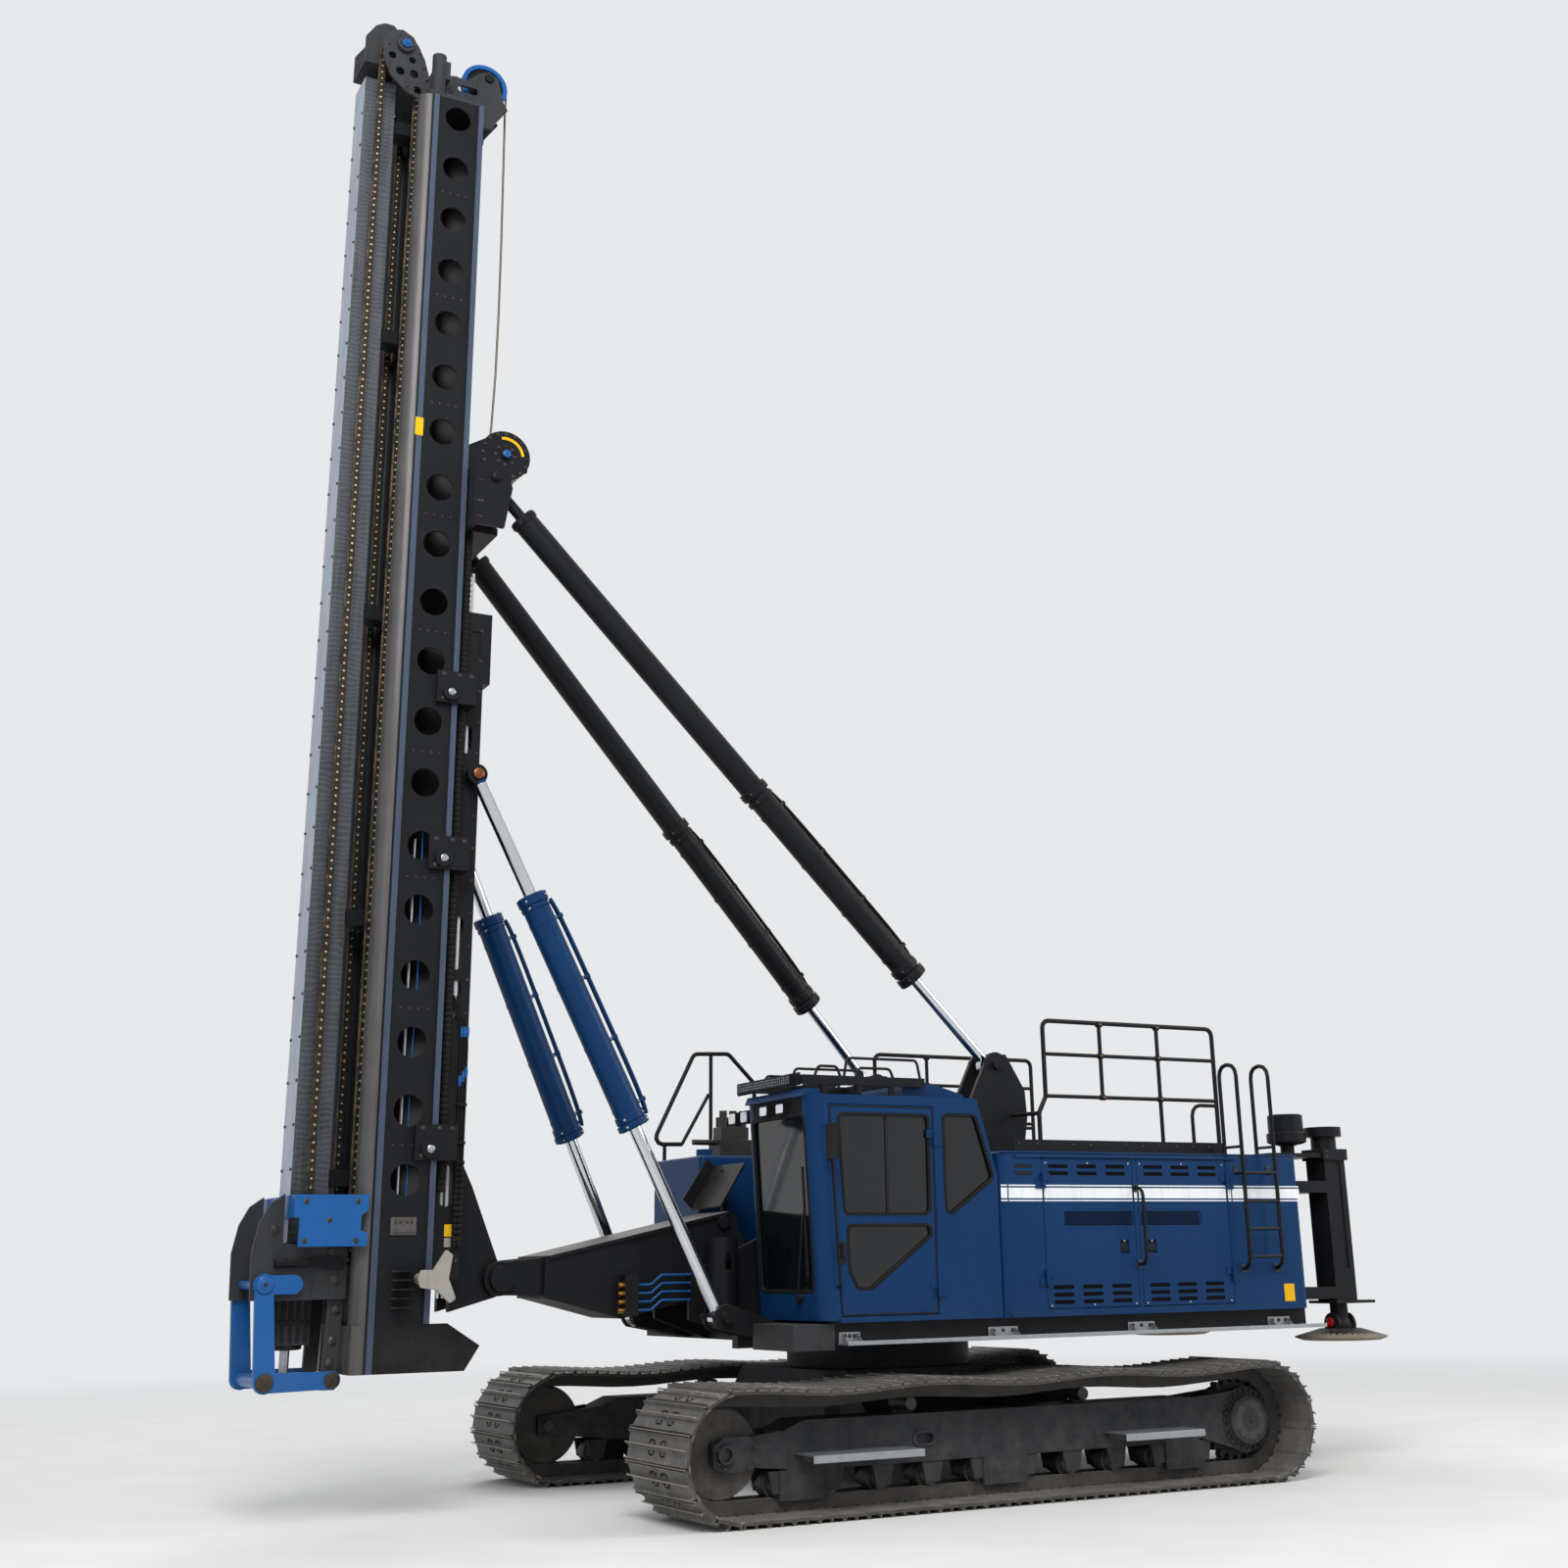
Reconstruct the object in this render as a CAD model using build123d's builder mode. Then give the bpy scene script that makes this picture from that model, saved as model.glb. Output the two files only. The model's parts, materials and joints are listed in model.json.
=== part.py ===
from build123d import *
from math import cos, degrees, pi, sin
import os

# Pile driver rig: crawler undercarriage, slewing upper with cab and engine house,
# and an upright leader held by a cradle, two luffing cylinders and two backstays.
# Millimetres. X runs to the machine's rear, Y to its right, Z up from the ground.
# Lengths along X are measured from the slewing axis, which stands SLEW_X behind
# the middle of the whole rig.

SLEW_X = 430

# Crawler
WHEEL_X = 2334
WHEEL_Z = 448
TRACK_Y = 1682
SHOE_W = 1000
SHOE_T = 22
GROUSER = 26
LINK_H = 95
LINK_R = 400
SHOES = 61
SAG = 34
RAIL_Y = 95
RAIL_W = 48

# Carbody and slewing ring
BODY_Z0 = 420
BODY_Z1 = 1010
BODY_X = 900
RING_R = 760
DECK_Z0 = 1130
DECK_Z1 = 1270.7
DECK_Y = 1560
DECK_X0 = -1420
DECK_X1 = 3330

# Engine house
HOUSE_X0 = 198
HOUSE_X1 = 3316
HOUSE_Y = 1639
HOUSE_Z0 = 1271
HOUSE_Z1 = 2531
SKIN = 40
DOOR_Z0 = 1330
DOOR_Z1 = 2478

# Cab: its front leans forward from CAB_X0 at the floor to CAB_TOP_X0 at the roof
CAB_X0 = -1400
CAB_TOP_X0 = -1496
CAB_X1 = 180
CAB_Y0 = -1639
CAB_Y1 = -522
CAB_Z0 = 1290
CAB_Z1 = 2932
CAB_WALL = 60
CAB_DOOR_X0 = -1250
CAB_DOOR_TOP_X0 = -1341
CAB_DOOR_X1 = -403
CAB_DOOR_Z0 = 1320
CAB_DOOR_Z1 = 2855

# Leader
LEAD_X0 = -4490
LEAD_X1 = -4040
LEAD_Y = 500
LEAD_Z0 = 1000
LEAD_Z1 = 11520
NOSE_R = 110
HOLE_D = 230
HOLE_Z0 = 2330
HOLE_STEP = 500
HOLES = 19
GUIDE_X0 = -5015
GUIDE_X1 = -4740
GUIDE_Y = 160
GUIDE_Z0 = 1905
GUIDE_Z1 = 11740

# Chain drive in front of the leader
CHAIN_Y = 240
CHAIN_W = 46
SPROCKET_X = -4735
SPROCKET_TOP = 12020
SPROCKET_LOW = 1840
CHAIN_R = 160

# Cradle, luffing cylinders and backstays
CRADLE_X0 = -4030
CRADLE_Y = 330
CRADLE_Z0 = 1640
CRADLE_Z1 = 6850
FOOT = (-3420, 0, 1630)
STAY_TOP = (-3850, 560, 7930)
STAY_FOOT = (560, 1000, 3262)
LUFF_TOP = (-3830, 430, 5455)
LUFF_FOOT = (-1850, 800, 1316)
# Inner faces of the cheeks at the cylinders' feet, away from the middle plane
STAY_CHEEKS = (845, 1085)
LUFF_CHEEKS = (665, 872)
WINCH_X = -3680
WINCH_Z = 8270
SHEAVE_X = -3890
SHEAVE_Z = 12075
SHEAVE_R = 215

# House ladder, handles and rails
LADDER_X = (2620, 2975)
LADDER_Y = -1740
LADDER_BACK = -1520
LADDER_TOP = 3280
LADDER_R = 17
GRAB_X = 1535
RAIL_SIDE_Y = 1400
RAIL_TOP = 3612
RAIL_R = 19

# Pieces on and beside the deck
CLEANER_X = 3660
CLEANER_Y = -1150
TANK_X0 = -1380
TANK_X1 = 150
TANK_Y0 = 560
TANK_Y1 = 1560
TANK_Z1 = 2600
POST_X = -1672
POST_Y = -470.5

# Door hinges
KNUCKLE_R = 17
PIN_R = 8
HINGE_OUT = 17.3
HINGE_FLAP = 70

os.makedirs("parts", exist_ok=True)


def save(piece, name):
    """Shift a finished piece from the slewing axis to the rig's own frame and write it."""
    solid = piece.part.moved(Location((SLEW_X, 0, 0)))
    solid.label = name
    export_step(solid, f"parts/{name}.step")


def block(x0, x1, y0, y1, z0, z1, mode=Mode.ADD):
    with Locations(((x0 + x1) / 2, (y0 + y1) / 2, (z0 + z1) / 2)):
        Box(x1 - x0, y1 - y0, z1 - z0, mode=mode)


def pair_block(x0, x1, y0, y1, z0, z1, mode=Mode.ADD):
    """The same block on both sides, y0 and y1 taken from the middle outwards."""
    block(x0, x1, y0, y1, z0, z1, mode)
    block(x0, x1, -y1, -y0, z0, z1, mode)


def plate_y(points, y0, y1, mode=Mode.ADD):
    """A flat piece with an (x, z) outline between two y planes."""
    with BuildSketch(Plane.XZ.offset(-y0)) as face:
        Polygon(*points, align=None)
    extrude(face.sketch, amount=-(y1 - y0), mode=mode)


def plate_x(points, x0, x1, mode=Mode.ADD):
    """A flat piece with a (y, z) outline between two x planes."""
    with BuildSketch(Plane.YZ.offset(x0)) as face:
        Polygon(*points, align=None)
    extrude(face.sketch, amount=x1 - x0, mode=mode)


def plate_z(points, z0, z1, mode=Mode.ADD):
    """A flat piece with an (x, y) outline between two levels."""
    with BuildSketch(Plane.XY.offset(z0)) as face:
        Polygon(*points, align=None)
    extrude(face.sketch, amount=z1 - z0, mode=mode)


def rounded_y(points, r, y0, y1, mode=Mode.ADD):
    """A flat piece with an (x, z) outline with rounded corners, between two y planes."""
    with BuildSketch(Plane.XZ.offset(-y0)) as face:
        Polygon(*points, align=None)
        fillet(face.vertices(), r)
    extrude(face.sketch, amount=-(y1 - y0), mode=mode)


def slots_y(places, length, height, y0, y1, mode=Mode.ADD):
    """Lying slots with round ends at (x, z) places, cut or added between two y planes."""
    with BuildSketch(Plane.XZ.offset(-y0)) as face:
        with Locations(*places):
            SlotOverall(length, height)
    extrude(face.sketch, amount=-(y1 - y0), mode=mode)


def disc_y(x, z, r, y0, y1, mode=Mode.ADD):
    with BuildSketch(Plane.XZ.offset(-y0)) as face:
        with Locations((x, z)):
            Circle(r)
    extrude(face.sketch, amount=-(y1 - y0), mode=mode)


def disc_z(x, y, r, z0, z1, mode=Mode.ADD):
    with BuildSketch(Plane.XY.offset(z0)) as face:
        with Locations((x, y)):
            Circle(r)
    extrude(face.sketch, amount=z1 - z0, mode=mode)


def disc_x(y, z, r, x0, x1, mode=Mode.ADD):
    with BuildSketch(Plane.YZ.offset(x0)) as face:
        with Locations((y, z)):
            Circle(r)
    extrude(face.sketch, amount=x1 - x0, mode=mode)


def bar(start, end, r, mode=Mode.ADD):
    """A round bar between two points."""
    a, b = Vector(*start), Vector(*end)
    with BuildSketch(Plane(origin=a, z_dir=b - a)) as face:
        Circle(r)
    extrude(face.sketch, amount=(b - a).length, mode=mode)


def tube(points, r, bend):
    """A round tube through straight runs, each bend set as three short mitred lengths."""
    with BuildLine() as run:
        FilletPolyline(*points, radius=bend)
    places = [run.line @ 0]
    for edge in run.wires()[0].order_edges():
        steps = (1 / 3, 2 / 3, 1) if edge.geom_type == GeomType.CIRCLE else (1,)
        places += [edge @ t for t in steps]
    with BuildLine() as path:
        Polyline(*places)
    with BuildSketch(Plane(origin=path.line @ 0, z_dir=path.line % 0)) as ring:
        Circle(r)
    sweep(ring.sketch, path=path.line, transition=Transition.RIGHT)


def hinge_half(x, y, levels, reach, side, bore):
    """Knuckles on a vertical pin axis with flaps that lie on the wall beside it."""
    for z0, z1 in levels:
        disc_z(x, y, KNUCKLE_R, z0, z1)
        wall = y - side * HINGE_OUT
        block(min(x, x + reach), max(x, x + reach), min(wall, wall + side * 9), max(wall, wall + side * 9), z0, z1)
        if bore:
            disc_z(x, y, PIN_R + 0.3, z0 - 1, z1 + 1, Mode.SUBTRACT)


def point_on(start, end, length):
    a, b = Vector(*start), Vector(*end)
    p = a + (b - a).normalized() * length
    return (p.X, p.Y, p.Z)


# Crawler path: bottom run, rear wheel, sagging top run over two carrier rollers, front wheel.
# Each entry is x, z, heading in degrees, at equal steps along the link line.

def track_path(count):
    straight = 2 * WHEEL_X
    arc = pi * LINK_R
    total = 2 * (straight + arc)
    places = []
    for i in range(count):
        s = (i + 0.5) * total / count
        if s < straight:
            places.append((-WHEEL_X + s, WHEEL_Z - LINK_R, 0))
        elif s < straight + arc:
            a = (s - straight) / LINK_R
            places.append((WHEEL_X + LINK_R * sin(a), WHEEL_Z - LINK_R * cos(a), degrees(a)))
        elif s < 2 * straight + arc:
            t = (s - straight - arc) / straight
            dip = SAG * (1 - cos(6 * pi * t)) / 2
            slope = -SAG * 3 * pi / straight * sin(6 * pi * t)
            places.append((WHEEL_X - t * straight, WHEEL_Z + LINK_R - dip, 180 - degrees(slope)))
        else:
            a = (s - 2 * straight - arc) / LINK_R
            places.append((-WHEEL_X - LINK_R * sin(a), WHEEL_Z + LINK_R * cos(a), 180 + degrees(a)))
    return places


pitch = 2 * (2 * WHEEL_X + pi * LINK_R) / SHOES
half = pitch / 2 - 4
shoe_top = SHOE_T + GROUSER
# Shoe outline, outward from the link line: plate with three bars across it
shoe_outline = (
    (-half, 0), (half, 0), (half, -shoe_top), (half - 14, -SHOE_T), (9, -SHOE_T),
    (0, -shoe_top), (-9, -SHOE_T), (-half + 14, -SHOE_T), (-half, -shoe_top),
)
rail_line = [(x, z) for x, z, a in track_path(SHOES)]

# One loop in the middle plane, then set out on both sides
with BuildPart() as track:
    with BuildSketch(Plane.XZ.offset(SHOE_W / 2)):
        for x, z, a in track_path(SHOES):
            with Locations(Location((x, z), a)):
                Polygon(*shoe_outline, align=None)
    extrude(amount=-SHOE_W)
    for rail in (-RAIL_Y, RAIL_Y):
        with BuildSketch(Plane.XZ.offset(-(rail - RAIL_W / 2))):
            Polygon(*rail_line, align=None)
            offset(amount=4, mode=Mode.REPLACE)
            with BuildLine():
                Polyline(*rail_line, close=True)
                offset(amount=-LINK_H, mode=Mode.REPLACE)
            make_face(mode=Mode.SUBTRACT)
        extrude(amount=-RAIL_W)

for side, name in ((-1, "track_left"), (1, "track_right")):
    with BuildPart() as placed_track:
        add(track.part.moved(Location((0, side * TRACK_Y, 0))))
    save(placed_track, name)


# Side frame of each crawler: box beam, yokes for the wheels, steps, guards and rollers

FRAME_W = 340
# Steps: middle and length along the side frame
STEPS = ((-1330, 900), (1290, 760))
STEP_Z = 420
STEP_OUT = 300
ROLLER_Z = WHEEL_Z - LINK_R + LINK_H + 70.4
ROLLERS = [-1880 + i * 418 for i in range(10)]
CARRIERS = (-778, 778)
CARRIER_R = 46
CARRIER_Z = WHEEL_Z + LINK_R - LINK_H - CARRIER_R - 0.5
TREAD_R = LINK_R * cos(pi / 12.8) - LINK_H - 0.4

for side, name in ((-1, "side_frame_left"), (1, "side_frame_right")):
    y0 = side * TRACK_Y - FRAME_W / 2
    y1 = side * TRACK_Y + FRAME_W / 2
    outer = y0 if side < 0 else y1
    with BuildPart() as side_frame:
        plate_y(((-1900, 340), (-1800, 312), (1800, 312), (1960, 360), (1960, 560), (1780, 640),
                 (-1700, 640), (-1900, 560)), y0, y1)
        # yoke cheeks that hold the front wheel
        for cheek in (y0, y1 - 50):
            plate_y(((-2420, 380), (-1880, 330), (-1880, 580), (-2420, 520)), cheek, cheek + 50)
            disc_y(-WHEEL_X, WHEEL_Z, 45.3, cheek, cheek + 50, Mode.SUBTRACT)
            # ring that holds the final drive
            plate_y(((1880, 330), (2250, 225), (2420, 225), (2420, 670), (2250, 670), (1780, 630)), cheek, cheek + 50)
            disc_y(WHEEL_X, WHEEL_Z, 245, cheek, cheek + 50)
            disc_y(WHEEL_X, WHEEL_Z, 200.3, cheek, cheek + 50, Mode.SUBTRACT)
        # hand hole in the box beam's outer wall, rim round it
        lo, hi = sorted((outer, outer + side * 10))
        slots_y(((-700, 470), ), 200, 110, lo, hi)
        lo, hi = sorted((outer - side * 30, outer + side * 12))
        slots_y(((-700, 470), ), 150, 70, lo, hi, Mode.SUBTRACT)
        # cover plate with its hub at the front wheel's axle
        lo, hi = sorted((outer - side, outer + side * 24))
        rounded_y(((-2420, 370), (-2340, 330), (-2150, 330), (-2070, 370), (-2070, 500), (-2150, 560),
                   (-2340, 560), (-2420, 500)), 15, lo, hi)
        lo, hi = sorted((outer, outer + side * 60))
        disc_y(-WHEEL_X, WHEEL_Z, 60, lo, hi)
        disc_y(-WHEEL_X, WHEEL_Z, 45.3, y0 - 70, y1 + 70, Mode.SUBTRACT)
        # chain guard below the beam between the rollers
        for x in (-1700, 0, 1700):
            lo, hi = sorted((outer - side * 30, outer))
            block(x - 190, x + 190, lo, hi, 120, 318)
        # feet below the beam that carry the track rollers
        for x in ROLLERS:
            pair = ((x - 60, 170), (x + 60, 170), (x + 90, 316), (x - 90, 316))
            for edge in (y0 + 11.7, y1 - 41.7):
                plate_y(pair, edge, edge + 30)
        # carrier roller posts
        for x in CARRIERS:
            block(x - 55, x + 55, side * TRACK_Y - 60, side * TRACK_Y + 60, 636, CARRIER_Z - CARRIER_R - 0.3)
        # inner arms to the carbody
        for x in (-640, 640):
            inner = y1 if side < 0 else y0
            block(x - 170, x + 170, min(inner, side * 1190.3), max(inner, side * 1190.3), 320, 620)
    save(side_frame, name)


with BuildPart() as steps:
    for side in (-1, 1):
        face = side * (TRACK_Y + FRAME_W / 2 + 0.3)
        lo, hi = sorted((face, face + side * STEP_OUT))
        for x, length in STEPS:
            block(x - length / 2, x + length / 2, lo, hi, STEP_Z, STEP_Z + 8)
            # turned-down edge and two brackets on the beam
            edge = sorted((face + side * (STEP_OUT - 8), face + side * STEP_OUT))
            block(x - length / 2, x + length / 2, edge[0], edge[1], STEP_Z - 42, STEP_Z + 8)
            for end in (-length / 2 + 60, length / 2 - 120):
                block(x + end, x + end + 60, lo, hi, STEP_Z - 42, STEP_Z)
save(steps, "crawler_steps")

with BuildPart() as gear:
    # idlers with their flange, sprockets with teeth, bottom rollers, carrier rollers
    for side in (-1, 1):
        y = side * TRACK_Y
        disc_y(-WHEEL_X, WHEEL_Z, TREAD_R + 20, y - 60, y + 60)
        disc_y(-WHEEL_X, WHEEL_Z, TREAD_R, y - 116, y + 116)
        disc_y(-WHEEL_X, WHEEL_Z, 45, y - 190, y + 190)
        with BuildSketch(Plane.XZ.offset(-(y - 36))) as teeth:
            with Locations((WHEEL_X, WHEEL_Z)):
                Circle(276)
                with PolarLocations(290, 21):
                    Trapezoid(62, 60, 72, rotation=-90)
        extrude(teeth.sketch, amount=-72)
        disc_y(WHEEL_X, WHEEL_Z, 200, y - 190, y + 190)
        disc_y(WHEEL_X, WHEEL_Z, 150, y - 235, y + 235)
        for x in ROLLERS:
            disc_y(x, ROLLER_Z, 70, y - 128, y + 128)
            disc_y(x, ROLLER_Z, 88, y - 62, y + 62)
        for x in CARRIERS:
            disc_y(x, CARRIER_Z, CARRIER_R, y - 128, y + 128)
save(gear, "track_wheels")


# Carbody: centre box with its four legs and the lower slewing race

with BuildPart() as carbody:
    plate_z(((-BODY_X, -700), (-700, -900), (700, -900), (BODY_X, -700),
             (BODY_X, 700), (700, 900), (-700, 900), (-BODY_X, 700)), BODY_Z0, 900)
    for x in (-640, 640):
        plate_x(((-1190, 300), (1190, 300), (1190, 620), (900, 900), (-900, 900), (-1190, 620)), x - 170, x + 170)
    disc_z(0, 0, RING_R, 880, 1075)
    disc_z(0, 0, 560, 800, 1200, Mode.SUBTRACT)
save(carbody, "carbody")


# Upper frame: slewing race, deck plate, side girders and front nose

GIRDER_Z1 = 1900

with BuildPart() as deck:
    disc_z(0, 0, RING_R - 60, 1075.4, DECK_Z0 + 2)
    disc_z(0, 0, 540, 1060, DECK_Z0 - 40, Mode.SUBTRACT)
    block(DECK_X0, DECK_X1, -DECK_Y, DECK_Y, DECK_Z0, DECK_Z1)
    # main girders that carry the foot beam
    for y in (-350, 310):
        plate_y(((-1900, 1300), (-1420, DECK_Z0), (190, DECK_Z0), (190, GIRDER_Z1), (-1300, GIRDER_Z1),
                 (-1900, 1640)), y, y + 40)
    # arms out to the feet of the luffing cylinders
    for side in (-1, 1):
        for inner in LUFF_CHEEKS:
            y = min(side * inner, side * (inner + 40))
            plate_y(((-1400, DECK_Z0), (-1400, DECK_Z1), (-1840, 1420), (-1960, 1330), (-1900, 1230)), y, y + 40)
            disc_y(LUFF_FOOT[0], LUFF_FOOT[2], 95, y, y + 40)
        y_pin = side * LUFF_FOOT[1]
        disc_y(LUFF_FOOT[0], LUFF_FOOT[2], 42, y_pin - 150, y_pin + 150)
save(deck, "upper_frame")


# Foot beam: box girder from the deck out to the fork that carries the cradle's foot pin

BEAM_Y = 300
FORK_Y0 = 190
FORK_Y1 = 250

with BuildPart() as foot_beam:
    for y in (-BEAM_Y, BEAM_Y - 25):
        plate_y(((-1540, 2112), (-1470, 2085), (-1450, 2040), (-1460, 1985), (-1400, 1900), (-1300, 1560),
                 (-2450, 1320), (-3060, 1480), (-3060, 1790)), y, y + 25)
    plate_y(((-1540, 2112), (-3060, 1790), (-3060, 1765), (-1540, 2087)), -BEAM_Y - 30, BEAM_Y + 30)
    plate_y(((-1300, 1560), (-2450, 1320), (-3060, 1480), (-3060, 1505), (-2450, 1345), (-1300, 1585)),
            -BEAM_Y, BEAM_Y)
    disc_y(-1590, 2030, 48, -BEAM_Y - 45, BEAM_Y + 45)
    # side pads against the main girders
    pair_block(-1850, -1480, BEAM_Y - 5, 309.7, 1680, 1870)
    block(-3085, -3055, -BEAM_Y, BEAM_Y, 1480, 1790)
    for y in (FORK_Y0, -FORK_Y1):
        plate_y(((-3070, 1500), (-3420, 1510), (-3420, 1750), (-3070, 1780)), y, y + FORK_Y1 - FORK_Y0)
        disc_y(FOOT[0], FOOT[2], 125, y, y + FORK_Y1 - FORK_Y0)
        disc_y(FOOT[0], FOOT[2], 55.3, y, y + FORK_Y1 - FORK_Y0, Mode.SUBTRACT)
    # pin with its end caps, loose in the fork
    disc_y(FOOT[0], FOOT[2], 55, -285, 285)
    for y in (-310, 252):
        disc_y(FOOT[0], FOOT[2], 92, y, y + 58)
save(foot_beam, "foot_beam")


# Engine house: hollow, as thick as its doors, open where the doors hang

HOUSE_DOORS = (
    # name, hinge x, free x, hinged at the front (1) or at the rear (-1)
    ("front", 615, 1512, 1),
    ("rear", 2502, 1561, -1),
)
# Slots: middles along x for each door and for the fixed front panel, lengths, and levels of the rows
LOUVRES = {"front": (771, 1056, 1342), "rear": (1732, 2014, 2302)}
LOUVRE_L = 200
LOUVRE_H = 30
LOW_ROWS = (1375, 1431, 1487)
HIGH_ROWS = (2360, 2415)
LATCH = {"front": 1397, "rear": 1678}
MESH_X0 = 805
MESH_X1 = 2212
GAP = 6
HINGE_LEVELS = (1560, 2300)

with BuildPart() as house:
    block(HOUSE_X0, HOUSE_X1, -HOUSE_Y, HOUSE_Y, HOUSE_Z0, HOUSE_Z1)
    fillet(house.edges().filter_by(Axis.Z), 60)
    fillet(house.faces().sort_by(Axis.Z)[-1].edges(), 30)
    block(HOUSE_X0 + SKIN, HOUSE_X1 - SKIN, -HOUSE_Y + SKIN, HOUSE_Y - SKIN,
          HOUSE_Z0 - 1, HOUSE_Z1 - SKIN, Mode.SUBTRACT)
    for label, hinge, free, sense in HOUSE_DOORS:
        pair_block(min(hinge, free) - GAP, max(hinge, free) + GAP, HOUSE_Y - SKIN - 1, HOUSE_Y + 1,
                   DOOR_Z0 - GAP, DOOR_Z1 + GAP, Mode.SUBTRACT)
    # slots of the fixed front panels, lip round the foot
    slots_y([(434, z) for z in HIGH_ROWS], 176, LOUVRE_H, -HOUSE_Y - 1, HOUSE_Y + 1, Mode.SUBTRACT)
    for side in (-1, 1):
        lo, hi = sorted((side * (HOUSE_Y - 5), side * (HOUSE_Y + 12)))
        block(HOUSE_X0 + 60, HOUSE_X1 - 60, lo, hi, HOUSE_Z0, HOUSE_Z0 + 36)
        for label, hinge, free, sense in HOUSE_DOORS:
            x, y = hinge - sense * GAP / 2, side * (HOUSE_Y + HINGE_OUT)
            for z in HINGE_LEVELS:
                hinge_half(x, y, ((z - 60, z - 1), ), -sense * HINGE_FLAP, side, False)
                disc_z(x, y, PIN_R, z - 60, z + 58)
save(house, "house_shell")

for side, side_name in ((-1, "left"), (1, "right")):
    for label, hinge, free, sense in HOUSE_DOORS:
        x0, x1 = min(hinge, free), max(hinge, free)
        outer = side * HOUSE_Y
        inner = side * (HOUSE_Y - SKIN)
        with BuildPart() as door:
            block(x0, x1, min(outer, inner), max(outer, inner), DOOR_Z0, DOOR_Z1)
            for z in HINGE_LEVELS:
                hinge_half(hinge - sense * GAP / 2, side * (HOUSE_Y + HINGE_OUT), ((z, z + 60), ),
                           sense * HINGE_FLAP, side, True)
            places = [(x, z) for x in LOUVRES[label] for z in LOW_ROWS + HIGH_ROWS]
            cut = sorted((outer - side * 16, outer + side))
            slots_y(places, LOUVRE_L, LOUVRE_H, cut[0], cut[1], Mode.SUBTRACT)
            # shallow bed of the perforated strip, deeper pocket of the latch
            cut = sorted((outer - side * 6, outer + side))
            block(max(x0 + 8, MESH_X0), min(x1 - 8, MESH_X1), cut[0], cut[1], 1952, 2066, Mode.SUBTRACT)
            cut = sorted((outer - side * 22, outer + side))
            block(LATCH[label] - 43, LATCH[label] + 43, cut[0], cut[1], 1738, 1840, Mode.SUBTRACT)
        save(door, f"house_door_{label}_{side_name}")

with BuildPart() as engine:
    block(700, 2500, -430, 430, DECK_Z1 + 0.3, 2250)
save(engine, "engine_block")

# Counterweight, with the brackets that carry the rear jacks

JACK_X = 4050
JACK_Y = 1200
JACK_HALF = 120
JACK_Z0 = 1290
JACK_Z1 = 2700
PAD_Z = 985
PAD_R = 400

with BuildPart() as counterweight:
    block(DECK_X1 + 0.3, 3800, -1000, 1000, DECK_Z0, 2535)
    fillet(counterweight.edges().filter_by(Axis.Z).group_by(Axis.X)[-1], 120)
    # top plate that reaches the jacks, brackets that carry them
    pair_block(DECK_X1 + 0.3, JACK_X - JACK_HALF - 22.3, 900, JACK_Y + JACK_HALF, 2535, 2570)
    for z0, z1 in ((1330, 1430), (2230, 2330)):
        pair_block(3450, JACK_X - JACK_HALF - 0.3, 980, JACK_Y + JACK_HALF, z0, z1)
save(counterweight, "counterweight")


# Rear jacks: square sleeve, ram, ball foot and dish pad

with BuildPart() as sleeves:
    for y in (-JACK_Y, JACK_Y):
        block(JACK_X - JACK_HALF, JACK_X + JACK_HALF, y - JACK_HALF, y + JACK_HALF, JACK_Z0, JACK_Z1 - 120)
        block(JACK_X - JACK_HALF - 22, JACK_X + JACK_HALF + 22, y - JACK_HALF - 22, y + JACK_HALF + 22,
              JACK_Z1 - 186, JACK_Z1 - 90)
        disc_z(JACK_X, y, 112, JACK_Z1 - 90, JACK_Z1 + 22)
        disc_z(JACK_X, y, 165, JACK_Z1 + 22, JACK_Z1 + 105)
        block(JACK_X - JACK_HALF - 60, JACK_X + JACK_HALF + 150, y - JACK_HALF - 60, y + JACK_HALF + 60,
              JACK_Z0, JACK_Z0 + 24)
        # channels in the sleeve's faces
        for face in (-1, 1):
            cut = sorted((y + face * (JACK_HALF - 12), y + face * (JACK_HALF + 1)))
            block(JACK_X - 62, JACK_X + 62, cut[0], cut[1], 1580, JACK_Z1 - 200, Mode.SUBTRACT)
        disc_z(JACK_X, y, 77.3, JACK_Z0 - 1, JACK_Z0 + 80, Mode.SUBTRACT)
        disc_z(JACK_X, y, 84, JACK_Z0 + 70, JACK_Z1 - 200, Mode.SUBTRACT)
save(sleeves, "jack_sleeves")

for side, side_name in ((-1, "left"), (1, "right")):
    y = side * JACK_Y
    with BuildPart() as jack:
        disc_z(JACK_X, y, 77, PAD_Z + 150, JACK_Z1 - 320)
        with Locations((JACK_X, y, PAD_Z + 120)):
            Sphere(100)
        with BuildSketch(Plane(origin=(JACK_X, y, 0), x_dir=(1, 0, 0), z_dir=(0, -1, 0))) as dish:
            Polygon((0, PAD_Z), (PAD_R - 60, PAD_Z), (PAD_R, PAD_Z + 22), (PAD_R, PAD_Z + 32),
                    (180, PAD_Z + 95), (0, PAD_Z + 95), align=None)
        revolve(dish.sketch, axis=Axis((JACK_X, y, 0), (0, 0, 1)))
    save(jack, f"jack_ram_{side_name}")


# Cab: hollow shell with its windows cut, roof sloping down at the rear

GLASS_GAP = 0.3


def front_x(z):
    """Where the leaning front of the cab stands at a level."""
    return CAB_X0 + (CAB_TOP_X0 - CAB_X0) * (z - CAB_Z0) / (CAB_Z1 - CAB_Z0)


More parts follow.
